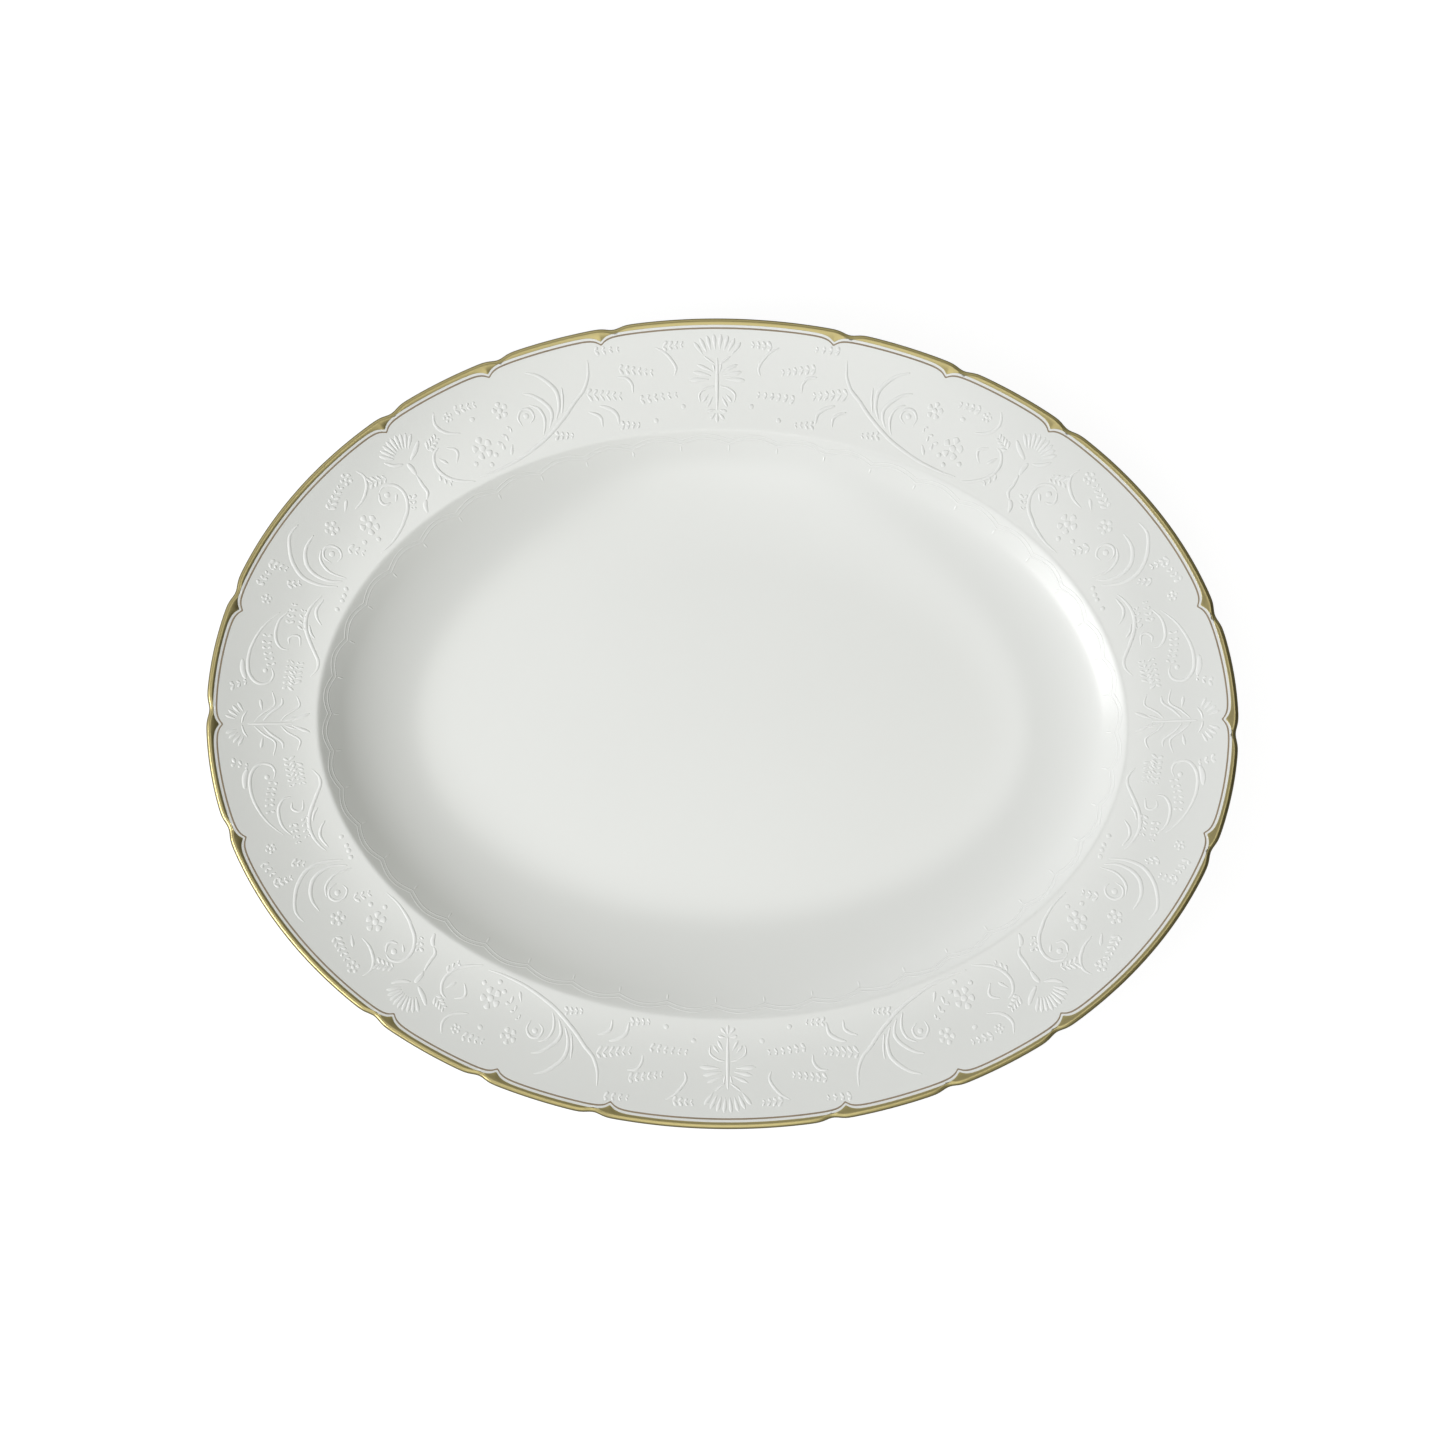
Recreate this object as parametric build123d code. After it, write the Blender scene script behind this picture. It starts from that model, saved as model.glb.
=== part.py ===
from build123d import *

import math
import os

# A scalloped oval serving platter in glazed white porcelain, with a gilt lip, a thin gilt line
# inside it and a rococo pattern in raised white enamel on the rim.
# Frame: +Z up, X along the long axis, Y along the short axis, origin on the resting plane at
# the middle of the foot ring. All lengths are millimetres.
# "inset" is the distance in from the lip, square to the edge, seen from above.
# "place" is the distance along the gilt line from the +X end, counter-clockwise from above.

# Outline
LIP_SEMI_LENGTH = 177.4
LIP_SEMI_WIDTH = 139.4
NOTCH_DEPTH = 1.0
NOTCH_WIDTH = 3.2

# Lobes: two narrow ones and a wide one, six times round the edge
LOBE_UNITS = 24
LOBE_PERIOD = 4
CUSP_UNITS = (0, 1, 3, 4)

# Section, measured on the glazed surface
LIP_PLANE_HEIGHT = 27.0
LIP_SLOPE = 0.27
RIM_END_SLOPE = 0.10
LIP_RADIUS = 1.25
LIP_ROLL_STEPS = 6
RIM_END_INSET = 36.5
RIM_RING_INSETS = (0.0, 9.0, 16.0, 23.0, 30.0, RIM_END_INSET)
SHOULDER_INSET = 37.75
COLLAR_INSET = 39.0
COLLAR_END_INSET = 45.2
COLLAR_SLOPE = 0.62
WALL_CURVE_INSET = 49.5
WALL_FOOT_INSET = 61.0
FLOOR_INSET = 78.0
FLOOR_HEIGHT = 7.0
SHOULDER_STEPS = 3
WALL_STEPS = 8
WALL_THICKNESS = 4.0
UNDERSIDE_HEIGHT = FLOOR_HEIGHT - WALL_THICKNESS

# Foot ring
FOOT_OUTER_INSET = 70.0
FOOT_FLARE = 0.8
FOOT_BASE_WIDTH = 4.6
FOOT_CORNER = 0.5
FOOT_CLEARANCE = 1.0
TREAD_MARGIN = 0.1
GLAZE_LINE_HEIGHT = 0.9

# Coats
GLAZE_THICKNESS = 0.2
GILT_THICKNESS = 0.1
ENAMEL_HEIGHT = 0.35

# Printed lines: the print sits a few millimetres round the edge from the moulded notches
PRINT_SLIP = 5.0
GILT_BAND_INSET = 2.3
GILT_LINE_INSET = 3.4
GILT_LINE_WIDTH = 0.8
BRACE_DEPTH = 2.1
BRACE_REACH = 1.9
BRACE_TIP_RADIUS = 0.5

# Stations round the edge: so many to each lobe unit, crowded towards the printed cusps
STATIONS_PER_UNIT = 12
STATION_CROWDING = 0.7
ARC_TABLE_STEPS = 7200

# Figures in relief: where petals widen, and how lines swell from their tips
PETAL_SHAPE = ((0.0, 0.15), (0.2, 0.55), (0.6, 1.0), (0.85, 0.8), (1.0, 0.15))
BEAD_SHAPE = ((0.0, 0.3), (0.15, 0.75), (0.5, 1.0), (0.85, 0.75), (1.0, 0.3))
RIBBON_TIP = 0.15
RIBBON_TAPER = 0.45
LEAFLET_WIDTH = 1.15
LEAFLET_GAP = 0.25
KNOT_STEPS = 4

# Border of scallops in relief at the top of the well, with a drop below each cusp
BORDER_SCALLOPS = 48
BORDER_INSET = 39.1
BORDER_SCALLOP_DEPTH = 1.7
BORDER_LINE_WIDTH = 0.55
BORDER_LINE_PITCH = 1.2
DROP_INSET = 43.1
DROP_LENGTH = 1.8
DROP_WIDTH = 1.1


# ---------------------------------------------------------------- edge geometry

def inset_point(angle, inset):
    """The plan point `inset` in from the lip ellipse, square to it, at an ellipse angle."""
    normal_x = LIP_SEMI_WIDTH * math.cos(angle)
    normal_y = LIP_SEMI_LENGTH * math.sin(angle)
    length = math.hypot(normal_x, normal_y)
    x = LIP_SEMI_LENGTH * math.cos(angle) - inset * normal_x / length
    y = LIP_SEMI_WIDTH * math.sin(angle) - inset * normal_y / length
    return x, y


def arc_table():
    """Distance along the gilt line at equal steps of the ellipse angle."""
    table = [0.0]
    last = inset_point(0.0, GILT_LINE_INSET)
    for step in range(1, ARC_TABLE_STEPS + 1):
        point = inset_point(math.tau * step / ARC_TABLE_STEPS, GILT_LINE_INSET)
        table.append(table[-1] + math.dist(last, point))
        last = point
    return table


ARC_TABLE = arc_table()
CIRCUMFERENCE = ARC_TABLE[-1]
QUARTER = CIRCUMFERENCE / 4
LOBE_UNIT = CIRCUMFERENCE / LOBE_UNITS


def angle_at(place):
    """The ellipse angle at a distance along the gilt line."""
    place = place % CIRCUMFERENCE
    low, high = 0, ARC_TABLE_STEPS
    while high - low > 1:
        middle = (low + high) // 2
        if ARC_TABLE[middle] <= place:
            low = middle
        else:
            high = middle
    part = (place - ARC_TABLE[low]) / (ARC_TABLE[high] - ARC_TABLE[low])
    return math.tau * (low + part) / ARC_TABLE_STEPS


def plan_point(place, inset):
    return inset_point(angle_at(place), inset)


def cusp_distance(place):
    """Distance along the edge to the nearest point where two lobes meet."""
    unit = (place / LOBE_UNIT) % LOBE_PERIOD
    return LOBE_UNIT * min(abs(unit - cusp) for cusp in CUSP_UNITS)


def notch(place):
    """How far the moulded edge dips in between lobes."""
    return NOTCH_DEPTH * math.exp(-((cusp_distance(place) / NOTCH_WIDTH) ** 2))


def brace(place):
    """How far the printed lines dip in at a cusp, pointed like a brace."""
    distance = cusp_distance(place - PRINT_SLIP)
    reach = math.hypot(distance, BRACE_TIP_RADIUS) - BRACE_TIP_RADIUS
    return BRACE_DEPTH * math.exp(-reach / BRACE_REACH)


# ---------------------------------------------------------------- section

def slope_normal(slope):
    """Square to a slope that falls inwards, as (inset, height)."""
    length = math.hypot(1.0, slope)
    return slope / length, 1.0 / length


RIM_BEND = (LIP_SLOPE - RIM_END_SLOPE) / RIM_END_INSET


def rim_curve(inset):
    """Height of the rim's hollow curve, steepest at the lip."""
    return LIP_PLANE_HEIGHT - LIP_SLOPE * inset + RIM_BEND * inset * inset / 2


def rim_height(inset):
    """Height of the rim as it is drawn, straight from one ring to the next."""
    for outer, inner in zip(RIM_RING_INSETS, RIM_RING_INSETS[1:]):
        if inset <= inner:
            break
    part = (inset - outer) / (inner - outer)
    return rim_curve(outer) + part * (rim_curve(inner) - rim_curve(outer))


EDGE_SLOPE = rim_height(0.0) - rim_height(1.0)
EDGE_NORMAL = slope_normal(EDGE_SLOPE)


def collar_height(inset):
    corner = rim_height(RIM_END_INSET) - RIM_END_SLOPE * (SHOULDER_INSET - RIM_END_INSET)
    return corner - COLLAR_SLOPE * (inset - SHOULDER_INSET)


# ---------------------------------------------------------------- rings and lofts

def edge_stations():
    """Places round the whole edge, starting at a printed cusp."""
    places = []
    for i in range(LOBE_UNITS * STATIONS_PER_UNIT):
        part = i / STATIONS_PER_UNIT
        part -= STATION_CROWDING * math.sin(math.tau * part) / math.tau
        places.append(PRINT_SLIP + LOBE_UNIT * part)
    return places


STATIONS = edge_stations()


def closed_ring(section_at):
    """A closed wire through section_at(place) = (inset, height) at every station."""
    points = []
    for place in STATIONS:
        inset, height = section_at(place)
        x, y = plan_point(place, inset)
        points.append((x, y, height))
    return Wire([Edge.make_spline(points, periodic=True)])


def plain_ring(inset, height):
    return closed_ring(lambda place: (inset, height))


def notched_ring(inset, height):
    """A ring of the lip, slid down the rim's slope where the edge is notched."""
    return closed_ring(
        lambda place: (inset + notch(place), height - EDGE_SLOPE * notch(place))
    )


def brace_ring(inset, lift):
    """A ring on the rim that follows the printed lines, lifted square to the rim."""

    def section(place):
        on_rim = inset + brace(place)
        return (
            on_rim + lift * EDGE_NORMAL[0],
            rim_height(on_rim) + lift * EDGE_NORMAL[1],
        )

    return closed_ring(section)


def lip_section(lift):
    """Half a circle round the lip, from the rim's top to its underside."""
    touch = LIP_RADIUS * (1 + EDGE_NORMAL[0])
    centre_inset = touch - LIP_RADIUS * EDGE_NORMAL[0]
    centre_height = rim_height(touch) - LIP_RADIUS * EDGE_NORMAL[1]
    start = math.atan2(EDGE_NORMAL[1], EDGE_NORMAL[0])
    radius = LIP_RADIUS + lift
    section = []
    for step in range(LIP_ROLL_STEPS + 1):
        angle = start + math.pi * step / LIP_ROLL_STEPS
        section.append(
            (
                centre_inset + radius * math.cos(angle),
                centre_height + radius * math.sin(angle),
            )
        )
    return section


def curve_section(poles, steps, lift):
    """Points along a cubic in the section, moved square to it by lift."""
    section = []
    for step in range(steps + 1):
        t = step / steps
        u = 1.0 - t
        spot, speed = [], []
        for a, b, c, d in zip(*poles):
            spot.append(a * u**3 + 3 * b * u * u * t + 3 * c * u * t * t + d * t**3)
            speed.append((b - a) * u * u + 2 * (c - b) * u * t + (d - c) * t * t)
        length = math.hypot(speed[0], speed[1])
        inset = spot[0] - lift * speed[1] / length
        height = spot[1] + lift * speed[0] / length
        section.append((inset, height))
    return section


def well_section(lift):
    """The well's side from the rim's inner end: shoulder, straight collar, curve to the floor."""
    rim_end = (RIM_END_INSET, rim_height(RIM_END_INSET))
    corner = (SHOULDER_INSET, collar_height(SHOULDER_INSET))
    collar = (COLLAR_INSET, collar_height(COLLAR_INSET))
    collar_end = (COLLAR_END_INSET, collar_height(COLLAR_END_INSET))
    curve = (WALL_CURVE_INSET, collar_height(WALL_CURVE_INSET))
    wall_foot = (WALL_FOOT_INSET, FLOOR_HEIGHT)
    floor = (FLOOR_INSET, FLOOR_HEIGHT)
    shoulder = curve_section((rim_end, corner, corner, collar), SHOULDER_STEPS, lift)
    wall = curve_section((collar_end, curve, wall_foot, floor), WALL_STEPS, lift)
    return shoulder + wall


def rim_section(lift):
    """The rim's rings between the shoulder and the printed lines, from the inside out."""
    section = []
    for inset in reversed(RIM_RING_INSETS[1:-1]):
        across, up = slope_normal(LIP_SLOPE - RIM_BEND * inset)
        section.append((inset + lift * across, rim_height(inset) + lift * up))
    return section


def rings_of(section):
    return [plain_ring(inset, height) for inset, height in section]


def lip_rings(lift):
    return [notched_ring(inset, height) for inset, height in lip_section(lift)]


def loft(rings):
    """Ruled solid through rings in order, capped flat at both ends."""
    solid = Solid.make_loft(rings, ruled=True)
    return solid if solid.volume > 0 else Solid(solid.wrapped.Reversed())


def closed_loft(rings):
    """Ruled solid through rings in order and back to the first, like a tyre."""
    return loft(rings + [rings[0]])


# ---------------------------------------------------------------- body and glaze

def foot_section(lift):
    """Outer side of the foot ring, from the underside down to the glaze line."""
    outer = FOOT_OUTER_INSET - lift
    return [(outer, UNDERSIDE_HEIGHT - lift), (outer + FOOT_FLARE, GLAZE_LINE_HEIGHT)]


def foot_inner_section(lift):
    """Inner side of the foot ring, from the glaze line up to the underside."""
    line = FOOT_OUTER_INSET + GLAZE_THICKNESS + FOOT_FLARE + FOOT_BASE_WIDTH
    inner = line + GLAZE_THICKNESS + lift
    return [(inner, GLAZE_LINE_HEIGHT), (inner + FOOT_FLARE, UNDERSIDE_HEIGHT - lift)]


def tread_section():
    """The bare foot that the platter rests on, with its two corners eased."""
    outer = foot_section(-GLAZE_THICKNESS)[-1][0] + FOOT_CORNER
    inner = foot_inner_section(-GLAZE_THICKNESS)[0][0] - FOOT_CORNER
    return [(outer, 0.0), (inner, 0.0)]


def underside_section(lift):
    """The underside, from below the rim's inner end to just outside the foot ring."""
    section = well_section(-WALL_THICKNESS - lift)
    return [spot for spot in section if spot[0] < FOOT_OUTER_INSET - FOOT_CLEARANCE]


def skin_rings(lift):
    """The whole surface from the well floor, over the lip, down to the foot's glaze line."""
    edge = GILT_LINE_WIDTH / 2
    rings = list(reversed(rings_of(well_section(lift))))
    rings += rings_of(rim_section(lift))
    rings.append(brace_ring(GILT_LINE_INSET + edge, lift))
    rings.append(brace_ring(GILT_LINE_INSET - edge, lift))
    rings.append(brace_ring(GILT_BAND_INSET, lift))
    rings += lip_rings(lift)
    rings += rings_of(underside_section(lift))
    rings += rings_of(foot_section(lift))
    return rings


def porcelain_body():
    """Lofted down to both edges of the tread; the tread itself is one flat face."""
    outer, inner = rings_of(tread_section())
    above = loft(skin_rings(-GLAZE_THICKNESS) + [outer])
    inside = loft([inner] + rings_of(foot_inner_section(-GLAZE_THICKNESS)))
    faces = [Face(outer, [inner])]
    for side in above.faces() + inside.faces():
        if side.center().Z > TREAD_MARGIN:
            faces.append(side)
    return Solid(Shell(faces))


def glaze_coat():
    """Two pools of one glaze, parted by the bare foot tread."""
    outside = skin_rings(0.0) + list(reversed(skin_rings(-GLAZE_THICKNESS)))
    inside = list(reversed(rings_of(foot_inner_section(0.0))))
    inside += rings_of(foot_inner_section(-GLAZE_THICKNESS))
    return Compound([loft(outside), loft(inside)])


def gilt_edge_band():
    """The gilding that wraps the lip, from its brace-shaped inner edge to the underside."""
    inner = [brace_ring(GILT_BAND_INSET, 0.0)] + lip_rings(0.0)
    outer = [brace_ring(GILT_BAND_INSET, GILT_THICKNESS)] + lip_rings(GILT_THICKNESS)
    return closed_loft(inner + list(reversed(outer)))


def gilt_hairline():
    edge = GILT_LINE_WIDTH / 2
    insets = (GILT_LINE_INSET - edge, GILT_LINE_INSET + edge)
    inner = [brace_ring(inset, 0.0) for inset in insets]
    outer = [brace_ring(inset, GILT_THICKNESS) for inset in reversed(insets)]
    return closed_loft(inner + outer)


# ---------------------------------------------------------------- relief vocabulary
# A stroke is a list of (place, depth, half width): place as above, depth in from the gilt line.

def smooth_path(knots):
    """Catmull-Rom curve through the knots."""
    padded = [knots[0]] + list(knots) + [knots[-1]]
    path = []
    for a, b, c, d in zip(padded, padded[1:], padded[2:], padded[3:]):
        for step in range(KNOT_STEPS):
            t = step / KNOT_STEPS
            spot = []
            for p, q, r, s in zip(a, b, c, d):
                bend = t * t * (p - 2.5 * q + 2 * r - 0.5 * s)
                twist = t**3 * (1.5 * (q - r) + 0.5 * (s - p))
                spot.append(q + 0.5 * t * (r - p) + bend + twist)
            path.append(tuple(spot))
    path.append(knots[-1])
    return path


def ribbon(width, knots):
    """A line through the knots, swelling from fine tips to its full width."""
    path = smooth_path(knots)
    last = len(path) - 1
    stroke = []
    for i, (place, depth) in enumerate(path):
        swell = max(RIBBON_TIP, math.sin(math.pi * i / last) ** RIBBON_TAPER)
        stroke.append((place, depth, width / 2 * swell))
    return stroke


def shaped(base, tip, width, shape):
    """A short stroke from base to tip whose width follows a shape."""
    stroke = []
    for along, swell in shape:
        place = base[0] + along * (tip[0] - base[0])
        depth = base[1] + along * (tip[1] - base[1])
        stroke.append((place, depth, swell * width / 2))
    return stroke


def leaf(base, tip, width):
    """A petal: narrow at the base, widest past the middle."""
    return shaped(base, tip, width, PETAL_SHAPE)


def bead(centre, radius):
    place, depth = centre
    return shaped((place - radius, depth), (place + radius, depth), 2 * radius, BEAD_SHAPE)


def ray(centre, angle, inner, outer, width):
    """A petal pointing away from a centre; angle zero points to the lip."""
    across, out = math.sin(angle), -math.cos(angle)
    base = (centre[0] + across * inner, centre[1] + out * inner)
    tip = (centre[0] + across * outer, centre[1] + out * outer)
    return leaf(base, tip, width)


def blossom(centre, radius):
    """Five petals round a bead."""
    petals = [
        ray(centre, math.tau * i / 5, 0.4 * radius, radius, 0.66 * radius) for i in range(5)
    ]
    return [bead(centre, 0.3 * radius)] + petals


def fan(centre, inner, outer, rays, spread, width):
    """Rays of a palmette, opening towards the lip."""
    first = -math.radians(spread) / 2
    step = math.radians(spread) / (rays - 1)
    return [ray(centre, first + i * step, inner, outer, width) for i in range(rays)]


def leaf_row(start, end, count, length, lean):
    """Small leaves in a row from start to end, all leaning one way."""
    lean = math.radians(lean)
    figure = []
    for i in range(count):
        part = i / (count - 1)
        place = start[0] + part * (end[0] - start[0])
        depth = start[1] + part * (end[1] - start[1])
        tip = (place + length * math.cos(lean), depth + length * math.sin(lean))
        figure.append(leaf((place, depth), tip, LEAFLET_WIDTH))
    return figure


def sprig(knots, pairs, length, spread):
    """Pairs of leaflets swept forward from a curved line."""
    path = smooth_path(knots)
    figure = []
    for i in range(pairs):
        at = round(i * (len(path) - 2) / (pairs - 1))
        spot, ahead = path[at], path[at + 1]
        forward = math.atan2(ahead[1] - spot[1], ahead[0] - spot[0])
        for turn in (forward - math.radians(spread), forward + math.radians(spread)):
            out = (math.cos(turn), math.sin(turn))
            base = (spot[0] + LEAFLET_GAP * out[0], spot[1] + LEAFLET_GAP * out[1])
            tip = (spot[0] + length * out[0], spot[1] + length * out[1])
            figure.append(leaf(base, tip, LEAFLET_WIDTH))
    return figure


# ---------------------------------------------------------------- the print, one quarter of it
# From the middle of the platter's end (place 0) to the middle of its side (place QUARTER).
# The other quarters are this one mirrored in the two axes.

def scroll_figures():
    """Long swelling lines: volutes, C-scrolls and branches."""
    return [
        # Volute beside the end ornament, with a leaf on its back and a bead in its eye
        ribbon(
            1.3,
            [
                (45.5, 14.2), (38.5, 10.8), (31, 8.9), (25, 8.6), (20, 9.6), (16.9, 11.8),
                (16, 14.4), (17.4, 17.2), (20.4, 18), (23, 16.9),
            ],
        ),
        ribbon(2.0, [(17, 9), (20.2, 7.6), (24.2, 6.8)]),
        bead((21.6, 15), 0.9),
        # Second volute and the branches below it
        ribbon(1.2, [(32, 21), (31.8, 18.8), (33.4, 16.8), (36.6, 15.3), (42, 14.9), (47, 16.6)]),
        ribbon(1.1, [(34.4, 20.8), (36.6, 20.1), (38.6, 21.4), (38.6, 23.4), (34.8, 24.6)]),
        ribbon(
            1.5,
            [
                (22.4, 30.4), (26.5, 32.1), (30.4, 31.9), (33.6, 30.2), (37.6, 27.6),
                (41.4, 25.2), (45.4, 23.5), (50, 22.8), (55, 23.3), (59, 24.4),
            ],
        ),
        ribbon(1.1, [(40.4, 28.4), (42, 26.5), (45, 25)]),
        ribbon(1.2, [(47.1, 28.8), (49.5, 26.3), (52.8, 25), (58, 25.6)]),
        # Bundle of three C-scrolls round a small spiral
        ribbon(
            1.6,
            [
                (77, 4.4), (72, 4.4), (66.4, 8.2), (63.2, 12.2), (61.7, 16), (62, 20),
                (63.4, 23.6), (66, 27.4),
            ],
        ),
        ribbon(
            1.6,
            [
                (77.4, 10.7), (72.6, 11), (69, 12.6), (66.2, 15.4), (65.2, 19.4), (66.2, 24),
                (69.2, 27.6),
            ],
        ),
        ribbon(1.2, [(74.8, 15.6), (71.6, 17.2), (69.9, 20), (69.5, 23.4), (71.2, 28.2)]),
        ribbon(
            1.1,
            [
                (72.9, 21), (73, 18), (75.6, 16.4), (78.4, 17.6), (79.2, 20.4), (77.4, 22.6),
                (74.8, 22.4),
            ],
        ),
        bead((76, 19.4), 1.1),
        # Hook over the leaves, then the volute before the corner palmette
        ribbon(
            1.3,
            [
                (105.2, 6), (106.2, 9), (104.9, 11.9), (102.4, 13.8), (99.4, 15), (95.5, 15.3),
            ],
        ),
        ribbon(
            1.5,
            [
                (89.5, 32), (96.5, 32.2), (103.3, 30.9), (107, 29.4), (110.8, 27.4),
                (113.4, 24.2), (114, 20.8), (112.6, 17.8), (109.4, 16.1), (106.6, 16.6),
            ],
        ),
        ribbon(1.2, [(106.2, 17), (104.7, 19), (105, 21), (107.4, 21.9)]),
        bead((108.3, 19), 1.1),
        # Stem of the corner palmette
        ribbon(2.0, [(121.8, 14.8), (122.2, 17), (122.2, 19.6)]),
        ribbon(1.5, [(122.2, 20), (121.9, 23), (121.9, 26.6), (120, 28.4)]),
        ribbon(1.9, [(119.6, 28.6), (117.8, 30), (116.8, 32.4)]),
        # Volute after it, with its own hook
        ribbon(
            1.4,
            [
                (141.2, 32.1), (136.2, 29.6), (132.6, 26.8), (130.6, 23), (130.6, 19.9),
                (132.4, 17), (135, 16),
            ],
        ),
        ribbon(1.2, [(137.6, 17.4), (140.2, 19.2), (140.4, 21), (138, 23.6)]),
        leaf((132.8, 19), (135.2, 22.4), 1.3),
        ribbon(1.3, [(139.9, 4.8), (138.3, 8), (138.8, 10.8), (141, 13.3), (145, 15.2)]),
        # Mirrored bundle of C-scrolls with its spiral
        ribbon(
            1.6,
            [
                (175.2, 4.8), (179, 7), (182, 10.2), (183.9, 13.4), (184.1, 16.6), (183.2, 19.8),
                (181, 23.2),
            ],
        ),
        ribbon(
            1.5,
            [
                (171.9, 11.2), (175.3, 13), (178.6, 16.4), (180.2, 19.6), (179.6, 22.4),
                (177.6, 25.2),
            ],
        ),
        ribbon(1.2, [(173, 15.6), (175.9, 17.8), (176.9, 21), (176.2, 24), (174.6, 26.7)]),
        ribbon(
            1.1,
            [
                (167.8, 21.6), (167.3, 18.6), (169.6, 16.4), (172.6, 17.2), (173.2, 20),
                (171, 21.6),
            ],
        ),
        bead((170.5, 18.8), 1.0),
        ribbon(0.9, [(186.4, 13.2), (185.6, 17.4), (184, 21.6)]),
        # Long branch from below the bouquet up to the lip, and the arcs springing from it
        ribbon(
            1.5,
            [
                (144, 31.5), (151, 32.2), (160, 31.9), (168, 30.4), (176, 27.8), (184.6, 23),
                (190, 18.8), (194, 15.9), (196.5, 12.2), (197.4, 9), (197.8, 6.4),
            ],
        ),
        ribbon(1.3, [(194, 23.5), (196.8, 24.9), (198.4, 26.6), (198.2, 29.6)]),
        ribbon(1.6, [(198.7, 22.2), (202.2, 23.8), (204.7, 26.2), (205, 29.8)]),
        ribbon(1.2, [(207.4, 13.8), (210.6, 14.6), (212.3, 17), (212.2, 19.8)]),
        ribbon(1.2, [(222.4, 5.6), (225.6, 7.6), (228.3, 11), (229.2, 13.4), (228.3, 15.6)]),
    ]


def leaf_figures():
    """Rows of leaflets and sprigs that fringe the scrolls."""
    return [
        *leaf_row((14.4, 5.4), (16.2, 9.4), 3, 2.0, 200),
        *sprig([(24, 16.8), (27.5, 15.2), (31, 13.8), (35, 12.9)], 6, 1.8, 62),
        *leaf_row((16.6, 23.2), (28, 22.6), 6, 2.5, 115),
        *leaf_row((18, 25.6), (27, 26), 5, 2.4, 75),
        *leaf_row((42, 23.5), (49.4, 21.5), 4, 2.0, -60),
        *leaf_row((42.6, 18.4), (50, 17.4), 4, 1.9, 60),
        *leaf_row((51.6, 3.6), (58.4, 5), 4, 1.9, 60),
        *leaf_row((60, 3.4), (61, 9), 4, 2.0, 15),
        *leaf_row((56.4, 12.2), (58.8, 15.2), 3, 2.0, 60),
        *leaf_row((81.8, 22.6), (84.2, 27), 3, 2.6, 40),
        *leaf_row((88.4, 9), (96.4, 6.6), 5, 2.4, 60),
        leaf((91.8, 13.6), (95.6, 11), 1.3),
        *leaf_row((107.2, 12.8), (112, 14.6), 4, 2.9, -70),
        leaf((109.2, 22.8), (111.5, 20.8), 1.1),
        *leaf_row((115.1, 25.4), (112.8, 28.6), 3, 2.1, 35),
        *leaf_row((131.2, 14.8), (135.6, 13), 4, 2.6, -65),
        *leaf_row((146.8, 7.4), (153.6, 8.4), 4, 2.1, 60),
        *leaf_row((129.8, 24), (132, 28), 3, 2.0, 150),
        *leaf_row((158, 24.2), (163.2, 20.4), 3, 2.4, 60),
        leaf((161.6, 26.2), (159.4, 29.4), 1.3),
        *leaf_row((180.4, 28.6), (186, 30), 4, 2.0, 110),
        *leaf_row((195, 17.4), (206.6, 20), 6, 2.8, 65),
        *leaf_row((201, 3.6), (208.6, 4.4), 4, 1.9, 60),
        *leaf_row((208.4, 11), (219.6, 13.6), 6, 2.2, 70),
        *leaf_row((225, 5.6), (231.2, 5.4), 4, 2.2, -70),
        *leaf_row((214.6, 22.4), (228, 22), 6, 2.0, 75),
        *leaf_row((207, 30.2), (213.2, 31), 4, 2.0, 100),
    ]


def flower_figures():
    """Blossoms with their buds."""
    figures = []
    for centre, radius in (
        ((48, 8.2), 1.9),
        ((83.8, 13.9), 2.8),
        ((95, 22.4), 3.9),
        ((100.6, 6), 2.3),
        ((150, 23.2), 4.1),
        ((143.6, 8.6), 1.8),
        ((162, 13.9), 3.1),
    ):
        figures += blossom(centre, radius)
    for centre in (
        (57, 31.2),
        (61.7, 31.2),
        (64.2, 30.9),
        (67.2, 30.2),
        (88.4, 25.4),
        (93.4, 28.2),
        (144.9, 27),
        (150.6, 29.6),
        (153.8, 27.2),
        (151.2, 12.8),
        (219.8, 30.2),
        (231, 26.2),
    ):
        figures.append(bead(centre, 0.9))
    return figures


def corner_palmette():
    """The palmette between the end and the side, with a cup below its rays."""
    return [
        *fan((122, 14.4), 4.8, 10.1, 9, 88, 1.45),
        ribbon(1.3, [(115, 10), (117.2, 12.6), (120.4, 14.2)]),
        ribbon(1.8, [(130, 10.4), (127.2, 12.6), (123.7, 14.4)]),
    ]


def end_leaves():
    """Half the rays, scrolls and leaves of the ornament at the middle of an end."""
    rays = [ray((0, 12), math.radians(angle), 5.6, 9.4, 1.2) for angle in (20, 33, 46, 59)]
    return rays + [
        ribbon(0.8, [(0.4, 8.7), (2.8, 9.2), (5, 10.4)]),
        ribbon(0.9, [(0.8, 12.8), (4, 15.6), (8, 19.6), (13.5, 18.4)]),
        ribbon(1.1, [(1, 15.8), (4, 18), (8, 21.8), (11, 22)]),
        ribbon(0.9, [(1, 21.8), (4, 24), (8, 28), (12.6, 26.8)]),
        leaf((5.4, 15.5), (9.8, 14.6), 1.2),
        leaf((1, 25.6), (4.6, 31.6), 1.6),
        leaf((0.9, 23), (2.8, 27), 1.0),
    ]


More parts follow.
